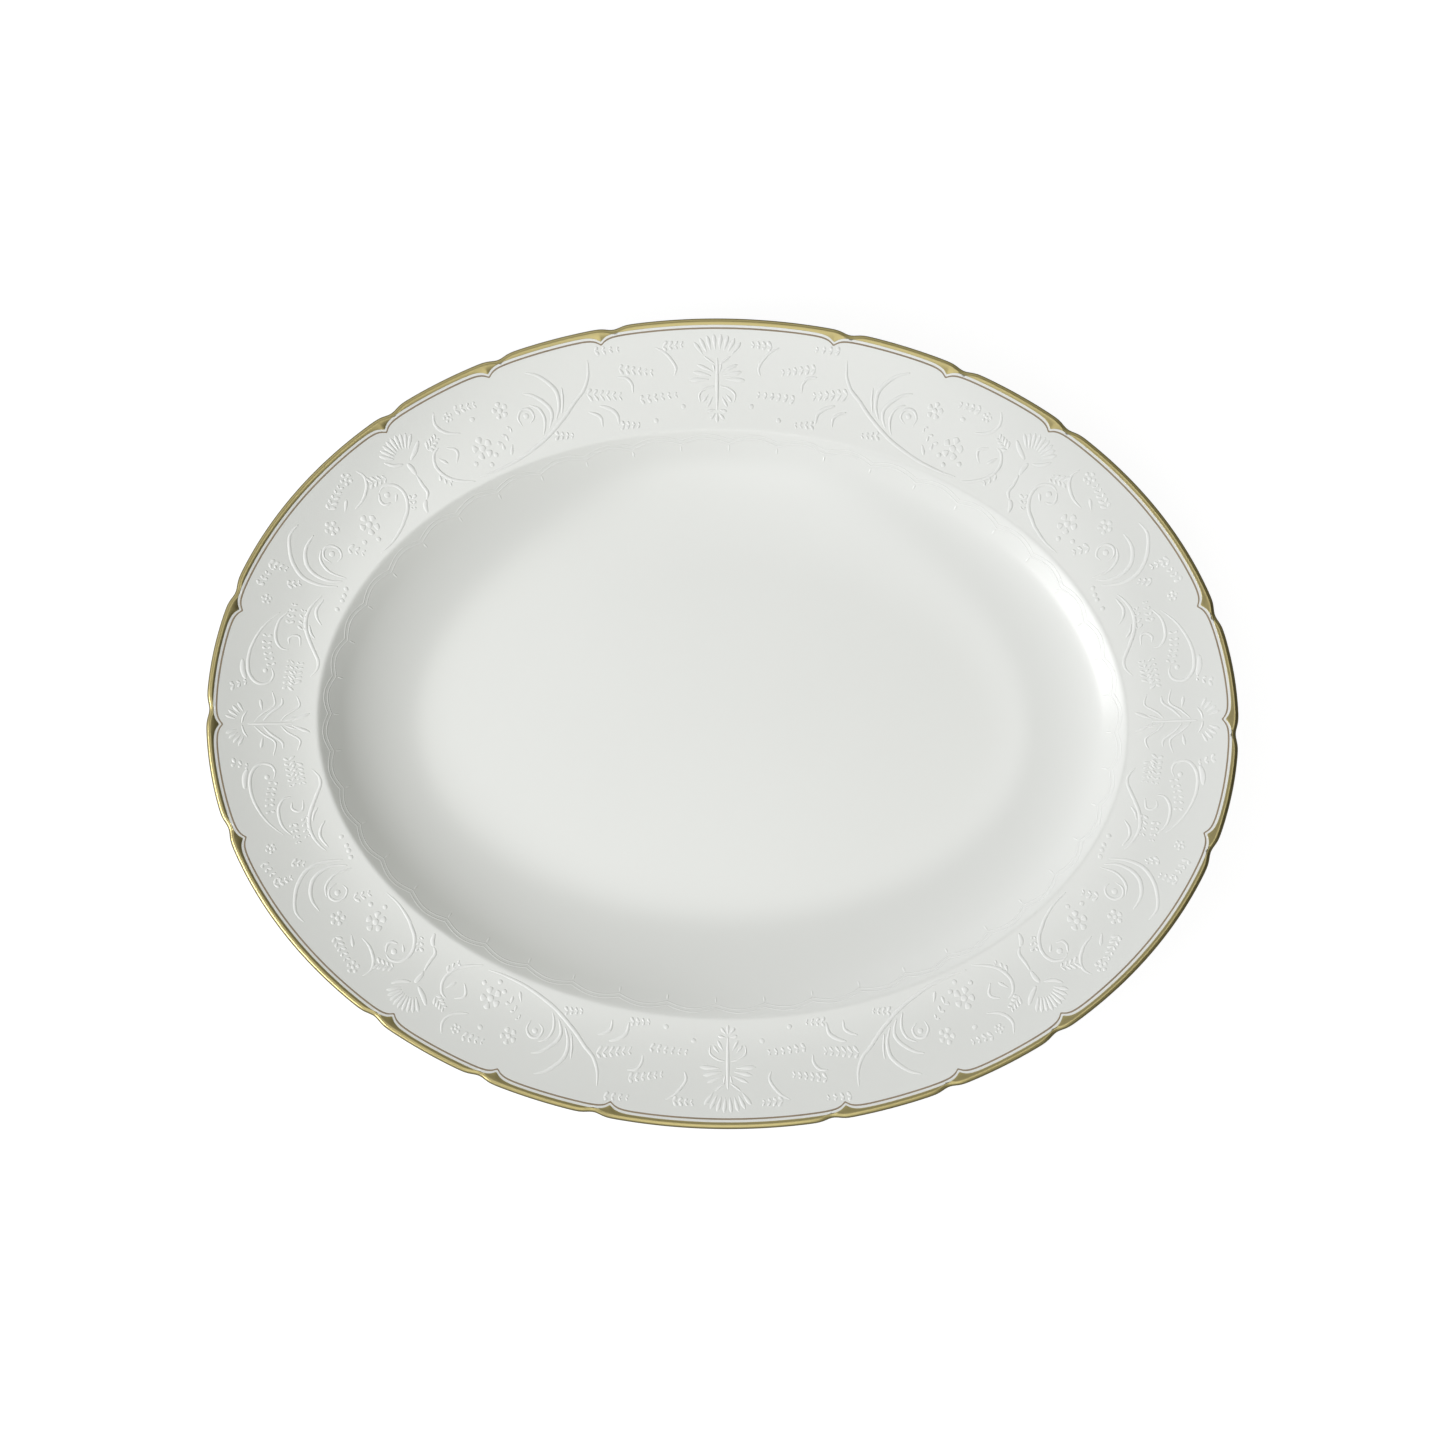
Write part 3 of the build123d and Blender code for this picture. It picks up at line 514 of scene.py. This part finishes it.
def scroll_strokes():
    """Long swelling lines: volutes, C-scrolls and branches."""
    return [
        # Volute beside the end ornament, with a leaf on its back and a bead in its eye
        ribbon(
            1.3,
            [
                (45.5, 14.2), (38.5, 10.8), (31, 8.9), (25, 8.6), (20, 9.6), (16.9, 11.8),
                (16, 14.4), (17.4, 17.2), (20.4, 18), (23, 16.9),
            ],
        ),
        ribbon(2.0, [(17, 9), (20.2, 7.6), (24.2, 6.8)]),
        bead((21.6, 15), 0.9),
        # Second volute and the branches below it
        ribbon(1.2, [(32, 21), (31.8, 18.8), (33.4, 16.8), (36.6, 15.3), (42, 14.9), (47, 16.6)]),
        ribbon(1.1, [(34.4, 20.8), (36.6, 20.1), (38.6, 21.4), (38.6, 23.4), (34.8, 24.6)]),
        ribbon(
            1.5,
            [
                (22.4, 30.4), (26.5, 32.1), (30.4, 31.9), (33.6, 30.2), (37.6, 27.6),
                (41.4, 25.2), (45.4, 23.5), (50, 22.8), (55, 23.3), (59, 24.4),
            ],
        ),
        ribbon(1.1, [(40.4, 28.4), (42, 26.5), (45, 25)]),
        ribbon(1.2, [(47.1, 28.8), (49.5, 26.3), (52.8, 25), (58, 25.6)]),
        # Bundle of three C-scrolls round a small spiral
        ribbon(
            1.6,
            [
                (77, 4.4), (72, 4.4), (66.4, 8.2), (63.2, 12.2), (61.7, 16), (62, 20),
                (63.4, 23.6), (66, 27.4),
            ],
        ),
        ribbon(
            1.6,
            [
                (77.4, 10.7), (72.6, 11), (69, 12.6), (66.2, 15.4), (65.2, 19.4), (66.2, 24),
                (69.2, 27.6),
            ],
        ),
        ribbon(1.2, [(74.8, 15.6), (71.6, 17.2), (69.9, 20), (69.5, 23.4), (71.2, 28.2)]),
        ribbon(
            1.1,
            [
                (72.9, 21), (73, 18), (75.6, 16.4), (78.4, 17.6), (79.2, 20.4), (77.4, 22.6),
                (74.8, 22.4),
            ],
        ),
        bead((76, 19.4), 1.1),
        # Hook over the leaves, then the volute before the corner palmette
        ribbon(
            1.3,
            [
                (105.2, 6), (106.2, 9), (104.9, 11.9), (102.4, 13.8), (99.4, 15), (95.5, 15.3),
            ],
        ),
        ribbon(
            1.5,
            [
                (89.5, 32), (96.5, 32.2), (103.3, 30.9), (107, 29.4), (110.8, 27.4),
                (113.4, 24.2), (114, 20.8), (112.6, 17.8), (109.4, 16.1), (106.6, 16.6),
            ],
        ),
        ribbon(1.2, [(106.2, 17), (104.7, 19), (105, 21), (107.4, 21.9)]),
        bead((108.3, 19), 1.1),
        # Stem of the corner palmette
        ribbon(2.0, [(121.8, 14.8), (122.2, 17), (122.2, 19.6)]),
        ribbon(1.5, [(122.2, 20), (121.9, 23), (121.9, 26.6), (120, 28.4)]),
        ribbon(1.9, [(119.6, 28.6), (117.8, 30), (116.8, 32.4)]),
        # Volute after it, with its own hook
        ribbon(
            1.4,
            [
                (141.2, 32.1), (136.2, 29.6), (132.6, 26.8), (130.6, 23), (130.6, 19.9),
                (132.4, 17), (135, 16),
            ],
        ),
        ribbon(1.2, [(137.6, 17.4), (140.2, 19.2), (140.4, 21), (138, 23.6)]),
        leaf((132.8, 19), (135.2, 22.4), 1.3),
        ribbon(1.3, [(139.9, 4.8), (138.3, 8), (138.8, 10.8), (141, 13.3), (145, 15.2)]),
        # Mirrored bundle of C-scrolls with its spiral
        ribbon(
            1.6,
            [
                (175.2, 4.8), (179, 7), (182, 10.2), (183.9, 13.4), (184.1, 16.6), (183.2, 19.8),
                (181, 23.2),
            ],
        ),
        ribbon(
            1.5,
            [
                (171.9, 11.2), (175.3, 13), (178.6, 16.4), (180.2, 19.6), (179.6, 22.4),
                (177.6, 25.2),
            ],
        ),
        ribbon(1.2, [(173, 15.6), (175.9, 17.8), (176.9, 21), (176.2, 24), (174.6, 26.7)]),
        ribbon(
            1.1,
            [
                (167.8, 21.6), (167.3, 18.6), (169.6, 16.4), (172.6, 17.2), (173.2, 20),
                (171, 21.6),
            ],
        ),
        bead((170.5, 18.8), 1.0),
        ribbon(0.9, [(186.4, 13.2), (185.6, 17.4), (184, 21.6)]),
        # Long branch from below the bouquet up to the lip, and the arcs springing from it
        ribbon(
            1.5,
            [
                (144, 31.5), (151, 32.2), (160, 31.9), (168, 30.4), (176, 27.8), (184.6, 23),
                (190, 18.8), (194, 15.9), (196.5, 12.2), (197.4, 9), (197.8, 6.4),
            ],
        ),
        ribbon(1.3, [(194, 23.5), (196.8, 24.9), (198.4, 26.6), (198.2, 29.6)]),
        ribbon(1.6, [(198.7, 22.2), (202.2, 23.8), (204.7, 26.2), (205, 29.8)]),
        ribbon(1.2, [(207.4, 13.8), (210.6, 14.6), (212.3, 17), (212.2, 19.8)]),
        ribbon(1.2, [(222.4, 5.6), (225.6, 7.6), (228.3, 11), (229.2, 13.4), (228.3, 15.6)]),
    ]


def leaf_strokes():
    """Rows of leaflets and sprigs that fringe the scrolls."""
    return [
        *leaf_row((14.4, 5.4), (16.2, 9.4), 3, 2.0, 200),
        *sprig([(24, 16.8), (27.5, 15.2), (31, 13.8), (35, 12.9)], 6, 1.8, 62),
        *leaf_row((16.6, 23.2), (28, 22.6), 6, 2.5, 115),
        *leaf_row((18, 25.6), (27, 26), 5, 2.4, 75),
        *leaf_row((42, 23.5), (49.4, 21.5), 4, 2.0, -60),
        *leaf_row((42.6, 18.4), (50, 17.4), 4, 1.9, 60),
        *leaf_row((51.6, 3.6), (58.4, 5), 4, 1.9, 60),
        *leaf_row((60, 3.4), (61, 9), 4, 2.0, 15),
        *leaf_row((56.4, 12.2), (58.8, 15.2), 3, 2.0, 60),
        *leaf_row((81.8, 22.6), (84.2, 27), 3, 2.6, 40),
        *leaf_row((88.4, 9), (96.4, 6.6), 5, 2.4, 60),
        leaf((91.8, 13.6), (95.6, 11), 1.3),
        *leaf_row((107.2, 12.8), (112, 14.6), 4, 2.9, -70),
        leaf((109.2, 22.8), (111.5, 20.8), 1.1),
        *leaf_row((115.1, 25.4), (112.8, 28.6), 3, 2.1, 35),
        *leaf_row((131.2, 14.8), (135.6, 13), 4, 2.6, -65),
        *leaf_row((146.8, 7.4), (153.6, 8.4), 4, 2.1, 60),
        *leaf_row((129.8, 24), (132, 28), 3, 2.0, 150),
        *leaf_row((158, 24.2), (163.2, 20.4), 3, 2.4, 60),
        leaf((161.6, 26.2), (159.4, 29.4), 1.3),
        *leaf_row((180.4, 28.6), (186, 30), 4, 2.0, 110),
        *leaf_row((195, 17.4), (206.6, 20), 6, 2.8, 65),
        *leaf_row((201, 3.6), (208.6, 4.4), 4, 1.9, 60),
        *leaf_row((208.4, 11), (219.6, 13.6), 6, 2.2, 70),
        *leaf_row((225, 5.6), (231.2, 5.4), 4, 2.2, -70),
        *leaf_row((214.6, 22.4), (228, 22), 6, 2.0, 75),
        *leaf_row((207, 30.2), (213.2, 31), 4, 2.0, 100),
    ]


def flower_strokes():
    """Blossoms with their buds."""
    strokes = []
    for centre, radius in (
        ((48, 8.2), 1.9),
        ((83.8, 13.9), 2.8),
        ((95, 22.4), 3.9),
        ((100.6, 6), 2.3),
        ((150, 23.2), 4.1),
        ((143.6, 8.6), 1.8),
        ((162, 13.9), 3.1),
    ):
        strokes += blossom(centre, radius)
    for centre in (
        (57, 31.2), (61.7, 31.2), (64.2, 30.9), (67.2, 30.2), (88.4, 25.4), (93.4, 28.2),
        (144.9, 27), (150.6, 29.6), (153.8, 27.2), (151.2, 12.8), (219.8, 30.2), (231, 26.2),
    ):
        strokes.append(bead(centre, BUD_RADIUS))
    return strokes


def corner_palmette():
    """The palmette between the end and the side, with a cup below its rays."""
    return [
        *fan((122, 14.4), 4.8, 10.1, 9, 88, 1.45),
        ribbon(1.3, [(115, 10), (117.2, 12.6), (120.4, 14.2)]),
        ribbon(1.8, [(130, 10.4), (127.2, 12.6), (123.7, 14.4)]),
    ]


def end_leaves():
    """Half the rays, scrolls and leaves of the ornament at the middle of an end."""
    rays = [ray((0, 12), math.radians(angle), 5.6, 9.4, 1.2) for angle in (20, 33, 46, 59)]
    return rays + [
        ribbon(0.8, [(0.4, 8.7), (2.8, 9.2), (5, 10.4)]),
        ribbon(0.9, [(0.8, 12.8), (4, 15.6), (8, 19.6), (13.5, 18.4)]),
        ribbon(1.1, [(1, 15.8), (4, 18), (8, 21.8), (11, 22)]),
        ribbon(0.9, [(1, 21.8), (4, 24), (8, 28), (12.6, 26.8)]),
        leaf((5.4, 15.5), (9.8, 14.6), 1.2),
        leaf((1, 25.6), (4.6, 31.6), 1.6),
        leaf((0.9, 23), (2.8, 27), 1.0),
    ]


def side_leaves():
    """Half the leaves and curls round the stem at the middle of a side, and half its flower."""
    return [
        ribbon(0.8, [(-1, 12), (-3, 10.7), (-4.7, 9.4)]),
        leaf((-0.9, 14.8), (-1.5, 12.2), 0.8),
        leaf((-1.7, 14.6), (-7.4, 12.2), 1.3),
        leaf((-2.4, 16), (-9, 14.6), 1.5),
        leaf((-3.2, 17.2), (-10.4, 17.4), 1.6),
        ribbon(0.9, [(-1.1, 19.6), (-4, 20.2), (-6.8, 22.2), (-6.6, 25)]),
        leaf((-3.4, 22.4), (-5.6, 24.8), 1.1),
        leaf((-1.8, 23.2), (-4, 26.6), 1.2),
        leaf((-0.9, 27.6), (-3.8, 28.2), 1.2),
        leaf((-0.8, 28.8), (-2.8, 31), 1.3),
    ]


def end_stem():
    """The stem astride the axis at an end."""
    return [ribbon(1.0, [(0, 10.6), (0, 14), (0, 20), (0, 26)])]


def side_stem():
    """The rays, stem and topmost petal astride the axis at a side."""
    return [
        *fan((0, 16), 8.8, 14, 8, 72, 1.5),
        ribbon(1.3, [(0, 10), (0, 15), (0, 22), (0, 28)]),
        leaf((0, 28.8), (0, 32), 1.4),
    ]


def mirrored(strokes):
    return [[(-place, depth, half) for place, depth, half in stroke] for stroke in strokes]


def moved(strokes, distance):
    return [
        [(place + distance, depth, half) for place, depth, half in stroke] for stroke in strokes
    ]


def four_quarters(strokes):
    """One quarter's strokes, mirrored and repeated to fill the edge."""
    pair = strokes + mirrored(strokes)
    return pair + moved(pair, 2 * QUARTER)


def opposite(strokes, place):
    """Figures moved to a place, and again straight across the platter."""
    return moved(strokes, place) + moved(strokes, place + 2 * QUARTER)


def palmettes():
    """All the palmettes: four between end and side, two at the ends and two at the sides."""
    return (
        four_quarters(corner_palmette() + end_leaves() + moved(side_leaves(), QUARTER))
        + opposite(end_stem(), 0.0)
        + opposite(side_stem(), QUARTER)
    )


# ---------------------------------------------------------------- raising strokes

def refine(stroke):
    """More spots along a short stroke, by a smooth curve through it."""
    path = np.array(smooth_path(stroke))
    picks = np.linspace(0, len(path) - 1, SHORT_STROKE_SPOTS).round().astype(int)
    return path[picks]


def raised(stroke, height_at, inset_zero, slip, height, widen):
    """One stroke as a closed surface: domed above the glaze, its edges and keel sunk into it."""
    path = np.array(stroke, float) if len(stroke) > SHORT_STROKE else refine(stroke)
    place, depth, half = path.T
    half = half * widen
    run, rise = np.gradient(place), np.gradient(depth)
    length = np.hypot(run, rise) + 1e-9
    swell = np.clip(half / half.max(), 0, 1) ** SWELL_POWER

    def line(side, lift):
        """Points along the stroke at a share of its half width to the side."""
        inset = inset_zero + depth + side * half * run / length
        x, y = inset_point(angle_at(place - side * half * rise / length + slip), inset)
        return np.stack([x, y, height_at(inset) + lift], axis=1)

    lines = []
    for side in STROKE_ACROSS:
        dome = math.cos(math.pi / 2 * side) ** DOME_POWER if abs(side) < 1 else 0.0
        lines.append(line(side, height * swell * dome if dome else -ENAMEL_SINK))
    lines.append(line(0.0, -2 * ENAMEL_SINK))
    return skin(np.stack(lines, axis=1))


def raised_strokes(strokes, height_at, inset_zero, slip, height, widen=1.0):
    """Strokes raised on a surface; height_at gives its height at an inset."""
    return merged(
        [raised(stroke, height_at, inset_zero, slip, height, widen) for stroke in strokes]
    )


# ---------------------------------------------------------------- materials

def node_material(name):
    material = bpy.data.materials.new(name)
    material.use_nodes = True
    nodes, links = material.node_tree.nodes, material.node_tree.links
    return material, nodes, links, nodes["Principled BSDF"]


def mottle(nodes, links, shader, dark, light, scale):
    """Slow colour variation from noise in object space; returns the noise."""
    where = nodes.new("ShaderNodeTexCoord")
    noise = nodes.new("ShaderNodeTexNoise")
    noise.inputs["Scale"].default_value = scale
    noise.inputs["Detail"].default_value = 3.0
    ramp = nodes.new("ShaderNodeValToRGB")
    ramp.color_ramp.elements[0].position = 0.35
    ramp.color_ramp.elements[0].color = (*dark, 1)
    ramp.color_ramp.elements[1].position = 0.65
    ramp.color_ramp.elements[1].color = (*light, 1)
    links.new(where.outputs["Object"], noise.inputs["Vector"])
    links.new(noise.outputs["Fac"], ramp.inputs["Fac"])
    links.new(ramp.outputs["Color"], shader.inputs["Base Color"])
    return noise


def glaze_material():
    material, nodes, links, shader = node_material("white_glaze")
    mottle(nodes, links, shader, (0.800, 0.812, 0.79), (0.813, 0.825, 0.803), 9.0)
    shader.inputs["Roughness"].default_value = 0.22
    shader.inputs["IOR"].default_value = 1.5
    shader.inputs["Coat Weight"].default_value = 0.7
    shader.inputs["Coat Roughness"].default_value = 0.03
    return material


def enamel_material():
    material, nodes, links, shader = node_material("white_enamel")
    # The base colour is set lighter than the glaze's: a painted highlight on the raised strokes.
    mottle(nodes, links, shader, (0.845, 0.855, 0.84), (0.86, 0.868, 0.853), 60.0)
    shader.inputs["Roughness"].default_value = 0.2
    return material


def gold_material():
    material, nodes, links, shader = node_material("burnished_gold")
    mottle(nodes, links, shader, (0.46, 0.39, 0.18), (0.50, 0.43, 0.205), 14.0)
    shader.inputs["Metallic"].default_value = 1.0
    shader.inputs["Roughness"].default_value = 0.33
    return material


def hairline_material():
    material, nodes, links, shader = node_material("dull_gold_line")
    mottle(nodes, links, shader, (0.27, 0.21, 0.14), (0.32, 0.25, 0.17), 60.0)
    shader.inputs["Roughness"].default_value = 0.4
    return material


def bisque_material():
    """Bare porcelain, matte and finely grained."""
    material, nodes, links, shader = node_material("bare_porcelain")
    noise = mottle(nodes, links, shader, (0.70, 0.675, 0.62), (0.78, 0.755, 0.70), 220.0)
    bump = nodes.new("ShaderNodeBump")
    bump.inputs["Strength"].default_value = 0.15
    bump.inputs["Distance"].default_value = 0.0002
    links.new(noise.outputs["Fac"], bump.inputs["Height"])
    links.new(bump.outputs["Normal"], shader.inputs["Normal"])
    shader.inputs["Roughness"].default_value = 0.75
    return material


# ---------------------------------------------------------------- pieces
# A lift of zero is the glaze's surface; the bare body lies the glaze's thickness below it.

def top_and_under_rings(lift):
    """Rings of one surface from the floor's edge, over the lip, to the foot's glaze line."""
    spots, normals = well_section()
    well = spots + lift * normals
    rim_spots, rim_normals = rim_section(GILT_BAND_INSET + BRACE_ROOM)
    rim = rim_spots + lift * rim_normals
    under = spots - (WALL_THICKNESS + lift) * normals
    under = under[under[:, 0] < FOOT_OUTER_INSET - UNDERSIDE_MARGIN]
    foot_top = FLOOR_HEIGHT - WALL_THICKNESS - lift
    foot = FOOT_OUTER_INSET - lift
    rings = plain(well[::-1]) + plain(rim[::-1])
    for inset in (
        GILT_LINE_INSET + 0.5 * GILT_LINE_WIDTH,
        GILT_LINE_INSET - 0.5 * GILT_LINE_WIDTH,
        GILT_BAND_INSET,
    ):
        rings.append(on_rim(inset + BRACES, lift))
    rings += notched(lip_section(lift))
    rings += plain(under)
    rings += plain([(foot, foot_top), (foot + FOOT_FLARE, GLAZE_LINE_HEIGHT)])
    return rings


def foot_inner(lift):
    """Section of the foot's inner side, from its glaze line up to the base."""
    inner = FOOT_OUTER_INSET + GLAZE_THICKNESS * 2 + lift + FOOT_FLARE + FOOT_BASE_WIDTH
    top = FLOOR_HEIGHT - WALL_THICKNESS - lift
    return [(inner, GLAZE_LINE_HEIGHT), (inner + FOOT_FLARE, top)]


def build_body():
    inner_side = foot_inner(-GLAZE_THICKNESS)
    outer = FOOT_OUTER_INSET + GLAZE_THICKNESS + FOOT_FLARE + FOOT_CORNER
    inner = inner_side[0][0] - FOOT_CORNER
    tread = [(inset, 0.0) for inset in np.linspace(outer, inner, TREAD_RINGS)]
    rings = top_and_under_rings(-GLAZE_THICKNESS) + plain(tread) + plain(inner_side)
    piece = new_piece("bare_body", filled_skin(rings), bisque_material())
    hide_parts("porcelain_body")
    return piece


def build_glaze(material):
    """The glaze over the top and round the outside, and the pool of it inside the foot ring."""
    outer = top_and_under_rings(0.0)
    inner = top_and_under_rings(-GLAZE_THICKNESS)[::-1]
    piece = new_piece("glaze_skin", filled_skin(outer + inner), material)
    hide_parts("glaze_coat")
    pool = plain(foot_inner(0.0))[::-1] + plain(foot_inner(-GLAZE_THICKNESS))
    return [piece, new_piece("glaze_base_pool", filled_skin(pool), material)]


def build_gilt_band():
    rings = [on_rim(GILT_BAND_INSET - out + BRACES, lift) for out, lift in GILT_EDGE]
    rings += notched(lip_section(GILT_LIFT))
    rings += notched(lip_section(-GILT_SINK))[::-1]
    piece = new_piece("gilt_band", skin(rings, closed=True), gold_material())
    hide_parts("gilt_edge_band")
    return piece


def build_hairline():
    rings = [
        on_rim(GILT_LINE_INSET + side * HAIRLINE_HALF_WIDTH + BRACES, lift)
        for side, lift in HAIRLINE_SECTION
    ]
    piece = new_piece("gilt_line", skin(rings, closed=True), hairline_material())
    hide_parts("gilt_hairline")
    return piece


def build_relief(name, node, strokes, material):
    """Enamel strokes on the rim."""
    surface = raised_strokes(
        strokes, rim_height, GILT_LINE_INSET, PRINT_SLIP, ENAMEL_HEIGHT, ENAMEL_SPREAD
    )
    piece = new_piece(name, surface, material)
    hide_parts(node)
    return piece


def scalloped_line(start):
    """A raised line round the top of the well, in scallops that open inwards from a start."""
    place = np.arange(BORDER_SCALLOPS * SCALLOP_STEPS) * SCALLOP_WIDTH / SCALLOP_STEPS
    arc = np.abs(np.sin(math.pi * place / SCALLOP_WIDTH))
    middle = start + BORDER_SCALLOP_DEPTH * (1.0 - arc)
    rings = []
    for side, share in BORDER_SECTION:
        inset = middle + 0.5 * BORDER_LINE_WIDTH * side
        x, y = inset_point(angle_at(place), inset)
        height = collar_height(inset) + BORDER_LINE_HEIGHT * share
        rings.append(np.stack([x, y, height], axis=1))
    return skin(rings, closed=True)


def border_drop(place):
    return shaped((place, DROP_INSET), (place, DROP_INSET + DROP_LENGTH), DROP_WIDTH, BEAD_SHAPE)


def build_border(material):
    lines = [scalloped_line(BORDER_INSET), scalloped_line(BORDER_INSET + BORDER_LINE_PITCH)]
    drops = [border_drop(i * SCALLOP_WIDTH) for i in range(BORDER_SCALLOPS)]
    lines.append(raised_strokes(drops, collar_height, 0.0, 0.0, DROP_HEIGHT))
    piece = new_piece("shoulder_border", merged(lines), material)
    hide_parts("shoulder_border_relief")
    return piece


glaze = glaze_material()
enamel = enamel_material()
pieces = [
    build_body(),
    *build_glaze(glaze),
    build_gilt_band(),
    build_hairline(),
    build_relief("scrolls", "scroll_relief", four_quarters(scroll_strokes()), enamel),
    build_relief("leaf_sprigs", "scroll_relief", four_quarters(leaf_strokes()), enamel),
    build_relief("palmettes", "palmette_relief", palmettes(), enamel),
    build_relief("blossoms", "flower_relief", four_quarters(flower_strokes()), enamel),
    build_border(enamel),
]
for piece in pieces:
    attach(piece, "root")


# ---------------------------------------------------------------- floor, light, camera

def direction(azimuth, elevation):
    """Unit vector towards an azimuth and an elevation in degrees."""
    a, e = math.radians(azimuth), math.radians(elevation)
    return Vector((math.cos(a) * math.cos(e), math.sin(a) * math.cos(e), math.sin(e)))


def build_floor():
    side = FLOOR_HALF_SIDE
    corners = [(-side, -side, 0), (side, -side, 0), (side, side, 0), (-side, side, 0)]
    mesh = bpy.data.meshes.new("floor")
    mesh.from_pydata(corners, [], [(0, 1, 2, 3)])
    floor = bpy.data.objects.new("floor", mesh)
    bpy.context.scene.collection.objects.link(floor)
    material, nodes, links, shader = node_material("pale_floor")
    shader.inputs["Base Color"].default_value = (FLOOR_TONE, FLOOR_TONE, FLOOR_TONE, 1)
    shader.inputs["Roughness"].default_value = 0.9
    shader.inputs["Specular IOR Level"].default_value = 0.0
    shader.inputs["Emission Color"].default_value = (1, 1, 1, 1)
    path = nodes.new("ShaderNodeLightPath")
    glow = nodes.new("ShaderNodeMath")
    glow.operation = "MULTIPLY"
    glow.inputs[1].default_value = FLOOR_GLOW
    links.new(path.outputs["Is Camera Ray"], glow.inputs[0])
    links.new(glow.outputs["Value"], shader.inputs["Emission Strength"])
    mesh.materials.append(material)


def build_window():
    """A bright rectangle that faces the platter."""
    light = bpy.data.lights.new("window", "AREA")
    light.shape = "RECTANGLE"
    light.size, light.size_y = WINDOW_WIDTH, WINDOW_HEIGHT
    light.energy = WINDOW_WATTS
    towards = direction(WINDOW_AZIMUTH, WINDOW_ELEVATION)
    lamp = bpy.data.objects.new("window", light)
    lamp.location = towards * WINDOW_DISTANCE
    lamp.rotation_euler = (-towards).to_track_quat("-Z", "Y").to_euler()
    bpy.context.scene.collection.objects.link(lamp)


def build_world():
    """Soft room light: a dome that leans one way low down and another way high up.

    It is brighter at its near and far sides, fades towards the zenith, has a strip of light
    overhead, and turns warmer from left to right.
    """
    world = bpy.data.worlds.new("soft_room")
    bpy.context.scene.world = world
    world.use_nodes = True
    nodes, links = world.node_tree.nodes, world.node_tree.links
    where = nodes.new("ShaderNodeTexCoord")
    split = nodes.new("ShaderNodeSeparateXYZ")
    links.new(where.outputs["Generated"], split.inputs[0])
    x, y, z = split.outputs["X"], split.outputs["Y"], split.outputs["Z"]

    def combined(operation, first, second):
        node = nodes.new("ShaderNodeMath")
        node.operation = operation
        for value, socket in zip((first, second), node.inputs):
            if isinstance(value, float):
                socket.default_value = value
            else:
                links.new(value, socket)
        return node.outputs["Value"]

    def product(first, *others):
        for other in others:
            first = combined("MULTIPLY", first, other)
        return first

    def eased(value, limits):
        """Smoothly from zero to one as a value goes from the first limit to the second."""
        node = nodes.new("ShaderNodeMapRange")
        node.interpolation_type = "SMOOTHSTEP"
        node.inputs["From Min"].default_value, node.inputs["From Max"].default_value = limits
        links.new(value, node.inputs["Value"])
        return node.outputs["Result"]

    def leaning(level, lean):
        slope = combined("ADD", product(x, lean[0]), product(y, lean[1]))
        return combined("MAXIMUM", combined("ADD", slope, level), ROOM_DIM)

    sides = product(y, y, ROOM_SIDES)
    fading = combined("SUBTRACT", HORIZON_STRENGTH, product(z, z, ZENITH_LOSS))
    high = product(combined("ADD", leaning(*ROOM_HIGH), sides), fading)
    dome = nodes.new("ShaderNodeMix")
    links.new(eased(z, ROOM_STEP), dome.inputs["Factor"])
    links.new(leaning(*ROOM_LOW), dome.inputs["A"])
    links.new(high, dome.inputs["B"])

    strip = product(
        eased(combined("ABSOLUTE", x, 0.0), OVERHEAD_SIDE),
        eased(y, OVERHEAD_FAR),
        eased(y, OVERHEAD_NEAR),
        eased(z, ROOM_STEP),
        OVERHEAD_GLOW,
    )
    strength = combined("ADD", dome.outputs["Result"], strip)

    tint = nodes.new("ShaderNodeMix")
    tint.data_type = "RGBA"
    links.new(eased(x, TINT_STEP), tint.inputs["Factor"])
    left, right = [socket for socket in tint.inputs if socket.type == "RGBA"]
    left.default_value = (*ROOM_TINT_LEFT, 1)
    right.default_value = (*ROOM_TINT_RIGHT, 1)
    colour = next(socket for socket in tint.outputs if socket.type == "RGBA")
    links.new(colour, nodes["Background"].inputs["Color"])
    links.new(strength, nodes["Background"].inputs["Strength"])


def build_camera():
    camera = bpy.data.cameras.new("camera")
    camera.lens = CAMERA_LENS
    camera.sensor_width = CAMERA_SENSOR
    away = direction(CAMERA_AZIMUTH, CAMERA_ELEVATION)
    holder = bpy.data.objects.new("camera", camera)
    holder.location = Vector(CAMERA_AIM) + away * (FRAME_WIDTH * CAMERA_LENS / CAMERA_SENSOR)
    turn = (-away).to_track_quat("-Z", "Y").to_matrix()
    roll = Matrix.Rotation(math.radians(CAMERA_ROLL), 3, "Z")
    holder.rotation_euler = (turn @ roll).to_euler()
    bpy.context.scene.collection.objects.link(holder)
    bpy.context.scene.camera = holder


build_floor()
build_window()
build_world()
build_camera()
bpy.context.scene.view_settings.view_transform = "Standard"
